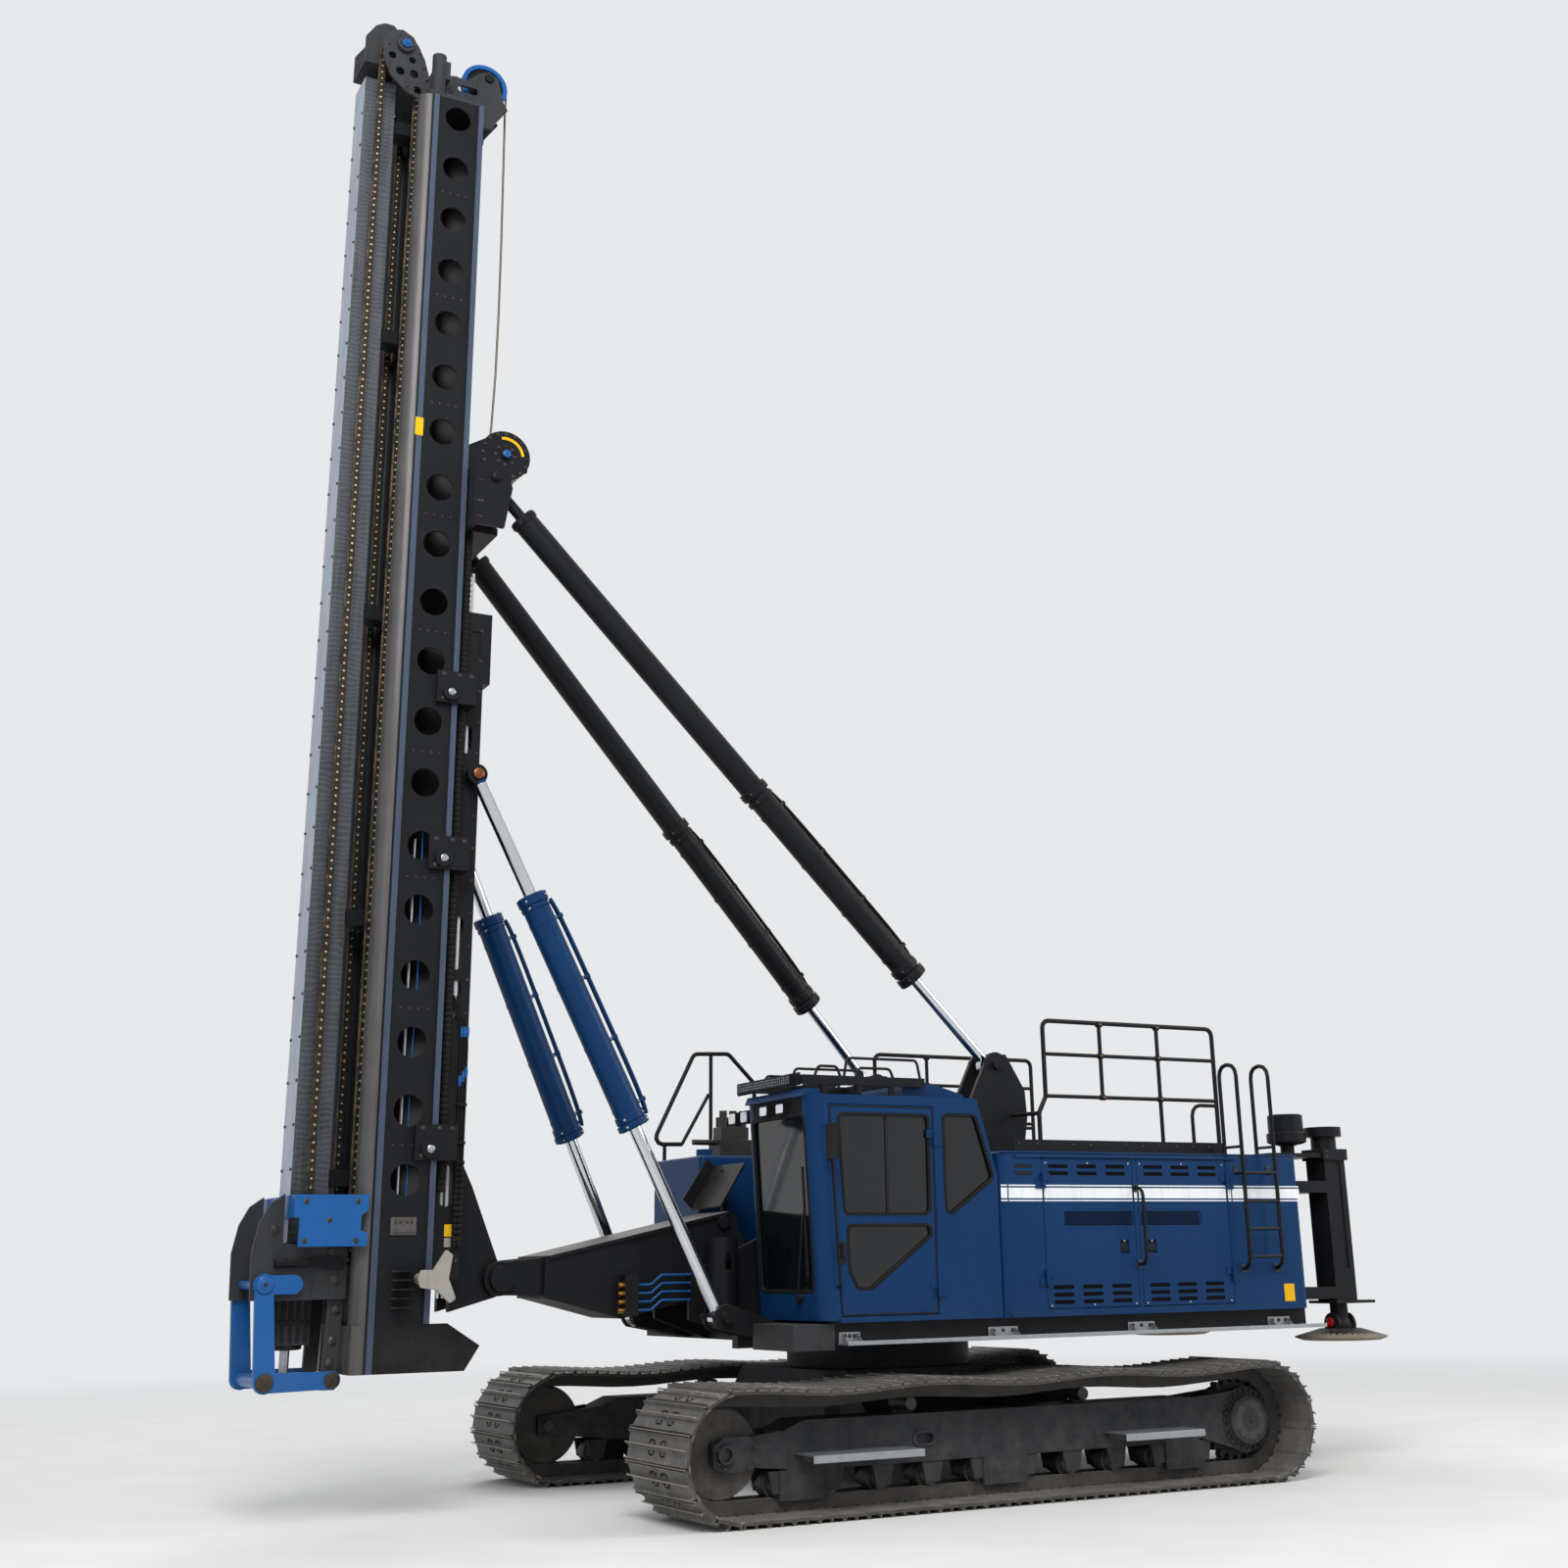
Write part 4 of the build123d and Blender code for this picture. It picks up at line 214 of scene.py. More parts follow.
def finish_of(name, settings):
    """Builds one finish: two tones, dust on ledges and near the ground, run marks, worn edges and grain."""
    if name in bpy.data.materials:
        return bpy.data.materials[name]
    base, second, patch, rough, metal, dust, streak, grain, bump, wear, wear_tone, clear = FINISHES[name]
    material = bpy.data.materials.new(name)
    material.use_nodes = True
    tree = material.node_tree
    tree.nodes.clear()
    source = add(tree, "ShaderNodeTexCoord")
    place = source.outputs["Object"]
    patches = noise(tree, place, 1000 / patch, 5.0)
    colour = lay(tree, patches, linear(base), second)
    # run marks and grease, drawn out along the height
    drawn = add(tree, "ShaderNodeMapping", {"Vector": place}, Scale=RUN_SCALE)
    runs = noise(tree, drawn.outputs["Vector"], 1.0, 6.0)
    colour = lay(tree, ramp(tree, runs, 0.5, 0.78, most=streak), colour, GRIME)
    # marks that the sliding guides comb into the grease
    if name == "greased_column_steel":
        combs = add(tree, "ShaderNodeTexWave", {"Vector": place}, wave_type="BANDS", bands_direction="Z",
                    Scale=7.5, Distortion=9.0, Detail=2.0, Detail_Scale=0.7)
        colour = lay(tree, ramp(tree, combs.outputs["Fac"], 0.45, most=0.14), colour, COMBED_GREASE)
    # dust: flat tops first, and more of it near the ground
    facing = add(tree, "ShaderNodeSeparateXYZ", {"Vector": source.outputs["Normal"]})
    height = add(tree, "ShaderNodeSeparateXYZ", {"Vector": place})
    top = ramp(tree, facing.outputs["Z"], 0.25)
    low = ramp(tree, height.outputs["Z"], 1.5, 0.1, most=0.8)
    cloud = noise(tree, place, 7.0, 8.0, 0.65)
    thin = ramp(tree, cloud, 0.36, 0.66, 0.15)
    mask = joined(tree, "MULTIPLY", joined(tree, "MAXIMUM", top, low), thin)
    mask = joined(tree, "MULTIPLY", mask, dust * settings.dust)
    colour = lay(tree, mask, colour, DUST)
    # edges: softened by a small radius, and rubbed
    normal = add(tree, "ShaderNodeBevel", samples=4, Radius=SOFT_RADIUS).outputs["Normal"]
    if wear:
        flat = add(tree, "ShaderNodeNewGeometry")
        turn = add(tree, "ShaderNodeVectorMath", {0: normal, 1: flat.outputs["True Normal"]},
                   operation="DOT_PRODUCT")
        rub = ramp(tree, turn.outputs["Value"], 0.985, 0.9, most=wear)
        rubbed = joined(tree, "MULTIPLY", rub, ramp(tree, cloud, 0.42, 0.6))
        colour = lay(tree, rubbed, colour, wear_tone)
    gloss = ramp(tree, mask, least=rough, most=max(rough, 0.85))
    uneven = joined(tree, "ADD", joined(tree, "MULTIPLY", patches, 0.08), gloss)
    if bump:
        specks = noise(tree, place, 1000 / grain, 3.0)
        raised = add(tree, "ShaderNodeBump", {"Height": specks, "Normal": normal}, Strength=0.35,
                     Distance=bump / 1000 * 4)
        normal = raised.outputs["Normal"]
    shader = add(tree, "ShaderNodeBsdfPrincipled",
                 {"Base Color": colour, "Roughness": uneven, "Normal": normal},
                 Metallic=float(metal), Coat_Weight=clear, Coat_Roughness=0.12)
    if not metal:
        shader.inputs["Specular IOR Level"].default_value = 0.1
    if name == "smoked_glass":
        for key, value in (("Specular IOR Level", 0.5), ("Transmission Weight", 0.25), ("IOR", 1.5)):
            shader.inputs[key].default_value = value
    add(tree, "ShaderNodeOutputMaterial", {"Surface": shader.outputs["BSDF"]})
    return material


SLOT_OF = {
    "sprayed_blue_enamel": "blue_paint", "light_blue_enamel": "link_paint", "black_enamel": "dark_paint",
    "grey_enamel": "grey_paint", "rubbed_guide_steel": "guide_steel", "oiled_chain_steel": "chain_steel",
    "hard_chrome": "chrome", "galvanised_steel": "galvanised", "muddy_track_steel": "track_steel",
    "cast_wheel_steel": "wheel_steel", "smoked_glass": "glass", "moulded_plastic": "plastic",
}
FINISH_OF_SLOT = {slot: name for name, slot in SLOT_OF.items()}
FINISH_OF_SLOT["rubber"] = "pressed_rubber"


def lifted(point, depth, axis):
    """An outline's point at a depth: the point is (x, z), (x, y) or (y, z)."""
    a, b = point
    return at(*{"y": (a, depth, b), "z": (a, b, depth), "x": (depth, a, b)}[axis])


def both(side, near, far):
    """Two distances from the middle plane on one side of it, the lower value first."""
    return sorted((side * near, side * far))


class Shape:
    """Gathers small solids in one mesh."""

    def __init__(self):
        self.bm = bmesh.new()

    def prism(self, points, axis, low, high):
        """A flat outline drawn out along an axis."""
        rings = [[self.bm.verts.new(lifted(p, depth, axis)) for p in points] for depth in (low, high)]
        n = len(points)
        self.bm.faces.new(rings[0])
        self.bm.faces.new(rings[1][::-1])
        for i in range(n):
            self.bm.faces.new((rings[0][i], rings[1][i], rings[1][(i + 1) % n], rings[0][(i + 1) % n]))

    def block(self, x0, x1, y0, y1, z0, z1):
        """A plain block between its faces."""
        self.prism(((x0, y0), (x1, y0), (x1, y1), (x0, y1)), "z", z0, z1)

    def plate(self, span, rise, depth, radius, axis="y"):
        """A rectangle with rounded corners, drawn out along an axis."""
        (x0, x1), (z0, z1) = span, rise
        self.prism(rounded(((x0, z0), (x1, z0), (x1, z1), (x0, z1)), radius), axis, *depth)

    def band(self, outer, inner, axis, low, high):
        """A flat ring between two outlines of as many points."""
        rings = [[self.bm.verts.new(lifted(p, depth, axis)) for p in points] for points, depth in
                 ((outer, low), (outer, high), (inner, high), (inner, low))]
        n = len(outer)
        for a, b in zip(rings, rings[1:] + rings[:1]):
            for i in range(n):
                j = (i + 1) % n
                self.bm.faces.new((a[i], a[j], b[j], b[i]))

    def turned(self, a, b, profile, sides=24):
        """A turned part between two points: profile rows are (millimetres along, radius)."""
        start, end = at(*a), at(*b)
        axis = (end - start).normalized()
        other = axis.orthogonal().normalized()
        third = axis.cross(other)
        rings = []
        for along, radius in profile:
            centre = start + axis * (along / 1000)
            rings.append([self.bm.verts.new(centre + (other * cos(2 * pi * i / sides)
                                                      + third * sin(2 * pi * i / sides)) * (radius / 1000))
                          for i in range(sides)])
        for low, high in zip(rings, rings[1:]):
            for i in range(sides):
                j = (i + 1) % sides
                self.bm.faces.new((low[i], low[j], high[j], high[i]))
        self.bm.faces.new(rings[0][::-1])
        self.bm.faces.new(rings[-1])

    def stud(self, place, axis, profile, sides=24):
        """A turned part that stands on a place and points along an axis."""
        self.turned(place, tuple(p + q * FAR for p, q in zip(place, axis)), profile, sides)

    def rod(self, a, b, radius, sides=14):
        """A bar between two points, with broken edges at its ends."""
        long = (Vector(b) - Vector(a)).length
        self.turned(a, b, ((0, radius - 1), (1, radius), (long - 1, radius), (long, radius - 1)), sides)

    def bolt(self, place, axis, size):
        """Hexagon head on a washer; size is half the head's width across corners."""
        washer = size * 1.35
        seat = size * 0.25
        self.stud(place, axis, ((0, washer), (seat, washer), (seat + size * 0.01, size * 1.3)), 12)
        self.stud(place, axis, ((seat, size), (size * 0.85, size), (size, size * 0.86)), 6)

    def stud_pairs(self, places, y, profile, sides=24):
        """Turned parts on both sides of the machine, pointing outwards."""
        for side in (-1, 1):
            for x, z in places:
                self.stud((x, side * y, z), (0, side, 0), profile, sides)

    def bolt_pairs(self, places, y, size):
        """Bolts on both sides of the machine, their heads outwards."""
        for side in (-1, 1):
            for x, z in places:
                self.bolt((x, side * y, z), (0, side, 0), size)

    def done(self, name, body, finish, edge=EDGE, smooth=True):
        """Makes the object, with rounded edges, a finish and a body to ride on."""
        bmesh.ops.recalc_face_normals(self.bm, faces=self.bm.faces)
        return settle(bpy.data.objects.new(name, self.mesh(name)), body, finish, edge, smooth)

    def mesh(self, name):
        """Turns what was gathered into a mesh."""
        mesh = bpy.data.meshes.new(name)
        self.bm.to_mesh(mesh)
        self.bm.free()
        return mesh


def settle(piece, body, finish, edge=0.0, smooth=True):
    """Links a piece, rounds and smooths it, and gives it a finish and a body."""
    bpy.context.scene.collection.objects.link(piece)
    piece.data.materials.append(finish_of(finish, bpy.context.scene.rig))
    if edge:
        soft = piece.modifiers.new("edges", "BEVEL")
        soft.width = edge
        soft.segments = 2
        soft.limit_method = "ANGLE"
        soft.angle_limit = 0.7
    if smooth and piece.type == "MESH":
        for face in piece.data.polygons:
            face.use_smooth = True
        piece.data.set_sharp_from_angle(angle=0.6)
    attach(piece, body)
    return piece


def line(name, points, radius, body, finish, sides=3):
    """A pipe or rope along a smooth line through its corner points."""
    curve = bpy.data.curves.new(name, "CURVE")
    curve.dimensions = "3D"
    spline = curve.splines.new("NURBS")
    spline.points.add(len(points) - 1)
    for point, place in zip(spline.points, points):
        point.co = (*at(*place), 1)
    spline.order_u = 3
    spline.use_endpoint_u = True
    spline.resolution_u = 8
    curve.bevel_depth = radius / 1000
    curve.bevel_resolution = sides
    curve.use_fill_caps = True
    return settle(bpy.data.objects.new(name, curve), body, finish)


class RigSettings(bpy.types.PropertyGroup):
    """Sizes and colours a user would change."""

    dust: bpy.props.FloatProperty(name="Dust", description="How much dust lies on the machine", default=1.0,
                                  min=0, max=2, subtype="FACTOR")
    chain_pitch: bpy.props.FloatProperty(name="Chain pitch", description="Distance between the chain's pins",
                                         default=0.0635, unit="LENGTH")
    lamps: bpy.props.IntProperty(name="Lamps in the bar", description="Lamps in a row of the light bar",
                                 default=26, min=4)
    floor: bpy.props.FloatVectorProperty(name="Floor", description="Colour of the studio floor", size=4,
                                         subtype="COLOR", default=linear("#e2e2e1"))
    key_light: bpy.props.FloatProperty(name="Key light", description="Strength of the main lamp",
                                       default=2600.0, unit="POWER")


# the photo's camera: place in metres, heading, rise and lean in radians, lens in millimetres, shift
CAMERA_PLACE = (-8.1127, -14.6854, 1.6636)
HEADING, RISE, LEAN = 0.5100, 0.3137, -0.0181
LENS = 43.704
SHIFT_X, SHIFT_Y = -0.0298, -0.0852
# name: place, aim and size in metres, share of the key light's power
LAMPS = {
    "key": ((-9, -13, 15), (-1, 0, 4), 8, 1.0),
    "side": ((13, -9, 9), (0, 0, 3), 7, 0.35),
    "back": ((2, 15, 14), (0, 0, 4), 9, 0.4),
}
BACKDROP, BACKDROP_LIGHT = "#eceef0", 0.95
SKY, SKY_LIGHT = "#f3f6fa", 0.62
# half the floor's width, its second tone, and where it starts and ends to fade into the backdrop, in metres
FLOOR_HALF = 60
FLOOR_TONE = "#d6d4d0"
FADE_START, FADE_END = 8.0, 25.0


class StageMaker(bpy.types.Operator):
    """Floor, lamps, pale surroundings and the camera."""

    bl_idname = "rig.stage"
    bl_label = "Stage and camera"

    def execute(self, context):
        scene = context.scene
        scene.view_settings.view_transform = "Standard"
        sheet = Shape()
        bmesh.ops.create_grid(sheet.bm, x_segments=8, y_segments=8, size=FLOOR_HALF)
        floor = bpy.data.objects.new("floor", sheet.mesh("floor"))
        scene.collection.objects.link(floor)
        material = bpy.data.materials.new("cast_concrete_floor")
        material.use_nodes = True
        tree = material.node_tree
        tree.nodes.clear()
        place = add(tree, "ShaderNodeTexCoord").outputs["Object"]
        tone = lay(tree, noise(tree, place, 1.4, 8.0), scene.rig.floor, FLOOR_TONE)
        shader = add(tree, "ShaderNodeBsdfPrincipled", {"Base Color": tone}, Roughness=0.8)
        # far from the machine the floor takes on the pale tone behind it
        away = add(tree, "ShaderNodeVectorMath", {0: place}, operation="LENGTH")
        fade = add(tree, "ShaderNodeMapRange", {"Value": away.outputs["Value"]}, From_Min=FADE_START,
                   From_Max=FADE_END, interpolation_type="SMOOTHSTEP")
        glow = add(tree, "ShaderNodeEmission", Color=linear(BACKDROP), Strength=BACKDROP_LIGHT)
        mixed = add(tree, "ShaderNodeMixShader", {0: fade.outputs["Result"], 1: shader.outputs["BSDF"],
                                                  2: glow.outputs["Emission"]})
        add(tree, "ShaderNodeOutputMaterial", {"Surface": mixed.outputs[0]})
        floor.data.materials.append(material)
        scene.world = bpy.data.worlds.new("studio")
        scene.world.use_nodes = True
        tree = scene.world.node_tree
        tree.nodes.clear()
        path = add(tree, "ShaderNodeLightPath").outputs
        seen = joined(tree, "MAXIMUM", path["Is Camera Ray"], path["Is Glossy Ray"])
        seen = joined(tree, "MAXIMUM", seen, path["Is Transmission Ray"])
        pale = add(tree, "ShaderNodeBackground", Color=linear(BACKDROP), Strength=BACKDROP_LIGHT)
        light = add(tree, "ShaderNodeBackground", Color=linear(SKY), Strength=SKY_LIGHT)
        mixed = add(tree, "ShaderNodeMixShader", {0: seen, 1: light.outputs[0], 2: pale.outputs[0]})
        add(tree, "ShaderNodeOutputWorld", {"Surface": mixed.outputs[0]})
        for name, (place, aim, size, share) in LAMPS.items():
            lamp = bpy.data.lights.new(name, "AREA")
            lamp.size = size
            lamp.energy = scene.rig.key_light * share
            holder = bpy.data.objects.new(name, lamp)
            holder.location = place
            holder.rotation_euler = (Vector(aim) - Vector(place)).to_track_quat("-Z", "Y").to_euler()
            scene.collection.objects.link(holder)
        look = Vector((sin(HEADING) * cos(RISE), cos(HEADING) * cos(RISE), sin(RISE)))
        right = Vector((cos(HEADING), -sin(HEADING), 0))
        up = right.cross(look)
        side = right * cos(LEAN) + up * sin(LEAN)
        top = up * cos(LEAN) - right * sin(LEAN)
        data = bpy.data.cameras.new("camera")
        data.lens = LENS
        data.shift_x = SHIFT_X
        data.shift_y = SHIFT_Y
        data.clip_end = 300
        camera = bpy.data.objects.new("camera", data)
        turn = Matrix((side, top, -look)).transposed().to_4x4()
        camera.matrix_world = Matrix.Translation(CAMERA_PLACE) @ turn
        scene.collection.objects.link(camera)
        scene.camera = camera
        return {"FINISHED"}


class FinishMaker(bpy.types.Operator):
    """Gives every solid of the frame its finish."""

    bl_idname = "rig.finishes"
    bl_label = "Finishes of the solids"

    def execute(self, context):
        slots = {row["node"]: row["material_slot"] for row in frame["record"]["subparts"]}
        for name, node in frame["nodes"].items():
            finish = NODE_FINISH.get(name) or FINISH_OF_SLOT[slots[name]]
            node.data.materials.clear()
            node.data.materials.append(finish_of(finish, context.scene.rig))
            for test, second in FACE_FINISH.get(name, ()):
                node.data.materials.append(finish_of(second, context.scene.rig))
                slot = len(node.data.materials) - 1
                for face in node.data.polygons:
                    if test(face.center, face.normal):
                        face.material_index = slot
        return {"FINISHED"}


def inset(points, gap):
    """An outline with every edge moved inwards; a negative gap moves them outwards."""
    shifted = []
    for i, corner in enumerate(points):
        here = Vector(corner)
        ahead = (Vector(points[(i + 1) % len(points)]) - here).normalized()
        behind = (here - Vector(points[i - 1])).normalized()
        turn = 1 if behind.x * ahead.y - behind.y * ahead.x > 0 else -1
        first = Vector((-behind.y, behind.x)) * turn
        second = Vector((-ahead.y, ahead.x)) * turn
        shifted.append(tuple(here + (first + second) * (gap / (1 + first.dot(second)))))
    return shifted


def rounded(points, radius, steps=4):
    """An outline whose corners are arcs."""
    out = []
    for i, corner in enumerate(points):
        here = Vector(corner)
        ahead = (Vector(points[(i + 1) % len(points)]) - here).normalized()
        behind = (Vector(points[i - 1]) - here).normalized()
        half = ahead.angle(behind) / 2
        centre = here + (ahead + behind).normalized() * (radius / sin(half))
        leg = radius * cos(half) / sin(half)
        a, b = here + behind * leg - centre, here + ahead * leg - centre
        for k in range(steps + 1):
            t = k / steps
            out.append(tuple(centre + (a * (1 - t) + b * t).normalized() * radius))
    return out


def oblong(x, z, length, height):
    """A slot's outline."""
    w, h = length / 2, height / 2
    return rounded(((x - w, z - h), (x + w, z - h), (x + w, z + h), (x - w, z + h)), h - 0.5)


def circle(x, z, radius, count, start=0.0):
    """Places evenly round a circle."""
    turns = [start + 2 * pi * i / count for i in range(count)]
    return [(x + radius * cos(turn), z + radius * sin(turn)) for turn in turns]


def grid(columns, levels):
    """Every place at one of the columns and one of the levels."""
    return [(x, z) for x in columns for z in levels]


# the hoist chains' loop round the head and foot sprockets
CHAIN_Y = 240
CHAIN_R = 160
SPROCKET_X = -4735
SPROCKET_LOW, SPROCKET_TOP = 1840, 12020
# a link plate's outline: which of its two pins, distance along and distance across from it
LINK = ((0, 12, 25), (0, -17, 18), (0, -17, -18), (0, 12, -25),
        (1, -12, -25), (1, 17, -18), (1, 17, 18), (1, -12, 25))
# inner and outer face of the side plates, from the chain's middle
NARROW, WIDE = (16, 19.5), (20, 23.5)


def on_chain(s):
    """A place on the chain's loop."""
    run, arc = SPROCKET_TOP - SPROCKET_LOW, pi * CHAIN_R
    s %= 2 * (run + arc)
    if s < run:
        return SPROCKET_X - CHAIN_R, SPROCKET_LOW + s
    if s < run + arc:
        a = (s - run) / CHAIN_R
        return SPROCKET_X - CHAIN_R * cos(a), SPROCKET_TOP + CHAIN_R * sin(a)
    if s < 2 * run + arc:
        return SPROCKET_X + CHAIN_R, SPROCKET_TOP - (s - run - arc)
    a = (s - 2 * run - arc) / CHAIN_R
    return SPROCKET_X + CHAIN_R * cos(a), SPROCKET_LOW - CHAIN_R * sin(a)


class ChainMaker(bpy.types.Operator):
    """Plates, rollers and pins of the two hoist chains."""

    bl_idname = "rig.chains"
    bl_label = "Hoist chains"

    def execute(self, context):
        links, pins = Shape(), Shape()
        total = 2 * (SPROCKET_TOP - SPROCKET_LOW + pi * CHAIN_R)
        count = 2 * round(total / (2 * context.scene.rig.chain_pitch * 1000))
        step = total / count
        for y in (-CHAIN_Y, CHAIN_Y):
            for i in range(count):
                ends = [Vector(on_chain((i + k) * step)) for k in (0, 1)]
                ahead = (ends[1] - ends[0]).normalized()
                across = Vector((-ahead.y, ahead.x))
                outline = [ends[end] + ahead * p + across * q for end, p, q in LINK]
                wide = NARROW if i % 2 else WIDE
                for low, high in ((-wide[1], -wide[0]), (-2, 2), wide):
                    links.prism(outline, "y", y + low, y + high)
                links.prism(circle(*ends[0], 18, 8), "y", y - 15.5, y + 15.5)
                x, z = on_chain(i * step)
                for side in (-1, 1):
                    pins.stud((x, y + side * 23, z), (0, side, 0), ((0, 10), (5, 10), (6, 7)), 8)
        piece = links.done("hoist_chain_links", "leader", "oiled_chain_steel", edge=0, smooth=False)
        pins.done("hoist_chain_pins", "leader", "burnished_pin_steel", edge=0)
        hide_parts("hoist_chains")
        return {"FINISHED"}


LEADER_SIDE = 500
HOLE_X = -4265
HUB_Y = 400
HOLE_LEVELS = [2330 + 500 * i for i in range(19)]
HEAD_BOLTS = ((-4880, 12010), (-4600, 11990), (-4525, 11740), (-4700, 11630), (-4560, 11850), (-4790, 12120))


class LeaderMaker(bpy.types.Operator):
    """Bolts, hole rims, rub block, inner pipe and line, hub caps and a tag of the leader and its head."""

    bl_idname = "rig.leader"
    bl_label = "Leader details"

    def execute(self, context):
        bolts, rims, caps, hubs = Shape(), Shape(), Shape(), Shape()
        between = [z + 250 for z in HOLE_LEVELS[::2]]
        bolts.stud_pairs(grid((-4370, -4300, -4230, -4160), between), LEADER_SIDE,
                         ((0, 9), (2, 9), (3, 6)), 12)
        bolts.bolt_pairs(HEAD_BOLTS, 355, 15)
        for y, z in grid((-132, 132), range(2100, 11700, 320)):
            bolts.bolt((-5015, y, z), (-1, 0, 0), 10)
        for side in (-1, 1):
            for z in HOLE_LEVELS:
                rims.band(circle(HOLE_X, z, 131, 32), circle(HOLE_X, z, 114, 32), "y",
                          *both(side, LEADER_SIDE - 1, LEADER_SIDE + 0.2))
        caps.stud_pairs(((SPROCKET_X, SPROCKET_TOP), ), HUB_Y + 1,
                        ((0, 40), (4, 44), (18, 44), (24, 38), (25, 24), (39, 22)), 6)
        hubs.bolt_pairs(circle(SPROCKET_X, SPROCKET_TOP, 58, 6), HUB_Y, 8)
        bolts.done("leader_bolts", "leader", "oxide_bolt_steel")
        rims.done("hole_rims", "leader", "black_enamel")
        caps.done("head_hub_caps", "head_sprockets", "light_blue_enamel")
        hubs.done("head_hub_bolts", "head_sprockets", "oxide_bolt_steel")
        block, stains, tag = Shape(), Shape(), Shape()
        block.plate((-4360, -4168), (1945, 2070), (-512, -499), 8)
        block.plate((-4345, -4183), (1962, 2000), (-520, -511), 4)
        block.done("leader_rub_block", "leader", "worn_nose_steel")
        for x in (-4325, -4290, -4240, -4205):
            stains.stud((x, -512, 2035), (0, -1, 0), ((0, 12), (1, 12), (1.5, 7)), 12)
        stains.done("leader_rub_screws", "leader", "rusted_pin_steel", edge=0)
        line("leader_inner_pipe", ((-4290, -400, 1150), (-4290, -400, 3000), (-4290, -400, 4900)), 12,
             "leader", "plated_bolt_steel")
        line("leader_inner_line", ((-4240, -400, 1200), (-4215, -410, 2100), (-4245, -400, 3000),
                                   (-4210, -405, 3900), (-4240, -400, 5200)), 6,
             "leader", "light_blue_enamel")
        tag.plate((-4850, -4820), (12170, 12212), (-199, -192), 6)
        tag.done("head_tag", "leader", "orange_plastic")
        return {"FINISHED"}


# the engine house: doors, the middles of their louvres, latch, perforated strip, and the stripes' panels
HOUSE_SIDE = 1640
DOORS = {
    "front": ((618, 1509), (771, 1056, 1342), 1397, (805, 1500)),
    "rear": ((1564, 2499), (1732, 2014, 2302), 1678, (1573, 2212)),
}
PANELS = (("upper", 205, 272), ("upper", 278, 609), ("front", 621, 1506), ("upper", 1518, 1555),
          ("rear", 1567, 2496), ("upper", 2511, 2552), ("upper", 2558, 3310))
STRIPES = ((2143, 2154), (2166, 2247), (2259, 2270))
SLOT_LOW, SLOT_HIGH = (1375, 1431, 1487), (2360, 2415)
# kind of piece: finish, rounding of its edges
# louvres and perforations are near-black painted shade, where slots and small holes fall dark
HOUSE_KINDS = {
    "stripes": ("white_film", 0), "louvres": ("painted_recess_shade", 0),
    "latches": ("moulded_plastic", EDGE),
    "screws": ("plated_bolt_steel", EDGE), "perforations": ("painted_recess_shade", 0),
}


class HouseMaker(bpy.types.Operator):
    """Stripes, louvres and perforated strips drawn in painted shade, latches, screws, gutter and yellow
    plate of the house.
    """

    bl_idname = "rig.house"
    bl_label = "House details"

    def door(self, label, side, shape):
        """Louvres, latch, screws and perforated strip of one door."""
        (edge_low, edge_high), middles, latch_x, (strip_low, strip_high) = DOORS[label]
        # each louvre slot and its blade are a near-black piece of painted shade
        for x in middles:
            for z in SLOT_LOW + SLOT_HIGH:
                louvre = shape("louvres", label)
                louvre.prism(oblong(x, z, 199, 29), "y", *both(side, 1623.3, 1636.4))
                louvre.prism(((x - 92, z - 2), (x + 92, z - 2), (x + 92, z + 2), (x - 92, z + 2)), "y",
                             *both(side, 1636, 1637.6))
        shape("latches", label).prism(oblong(latch_x, 1789, 82, 80), "y", *both(side, 1617.4, 1622))
        shape("latches", label).plate((latch_x - 34, latch_x + 34), (1752, 1818), both(side, 1622, 1635), 9)
        screws = shape("screws", label)
        screws.stud((latch_x, side * 1634, 1834), (0, side, 0), ((0, 9), (3, 9), (4, 6)), 16)
        for z in (1350, 2440):
            for x in (edge_low + 30, (edge_low + edge_high) / 2, edge_high - 30):
                screws.stud((x, side * 1638.8, z), (0, side, 0), ((0, 8), (2.4, 8), (4, 4)), 12)
        # the perforated strip's small holes are near-black discs of painted shade
        for row in range(8):
            for k in range(int((strip_high - strip_low - 16) / 13)):
                hole = circle(strip_low + 12 + k * 13 + row % 2 * 6.5, 1961 + row * 13.4, 6, 6)
                shape("perforations", label).prism(hole, "y", *both(side, 1633.2, 1634.6))

    def execute(self, context):
        for side, hand in HANDS:
            pieces = {}

            def shape(kind, label):
                """The gathering shape of one kind on one panel or door."""
                return pieces.setdefault((kind, label), Shape())

            for label, x0, x1 in PANELS:
                depth = both(side, HOUSE_SIDE - 0.9, HOUSE_SIDE)
                for z0, z1 in STRIPES:
                    shape("stripes", label).block(x0 + 3, x1 - 3, *depth, z0, z1)
            for label in DOORS:
                self.door(label, side, shape)
            for (kind, label), piece in pieces.items():
                finish, edge = HOUSE_KINDS[kind]
                body = "upper" if label == "upper" else f"house_door_{label}_{hand}"
                piece.done(f"house_{kind}_{label}_{hand}", body, finish, edge)
            trim, slots = Shape(), Shape()
            trim.block(347, 2600, *both(side, 1638.8, 1656), 2482, 2500)
            trim.block(205, 3310, *both(side, 1638.8, 1647), 2516, 2530)
            trim.done(f"house_gutter_{hand}", "upper", "sprayed_blue_enamel")
            for z in SLOT_HIGH:
                slots.prism(oblong(434, z, 172, 27), "y", *both(side, 1637.9, 1639.6))
            slots.done(f"fixed_panel_slots_{hand}", "upper", "moulded_plastic", edge=0)
        plate = Shape()
        plate.plate((3048, 3161), (1330, 1471), (-1640.4, -1639), 5)
        plate.done("blank_yellow_plate", "upper", "yellow_film", edge=0)
        return {"FINISHED"}


def front_x(z):
    """Where the leaning front of the cab stands."""
    return -1400 - 96 * (z - 1290) / 1642


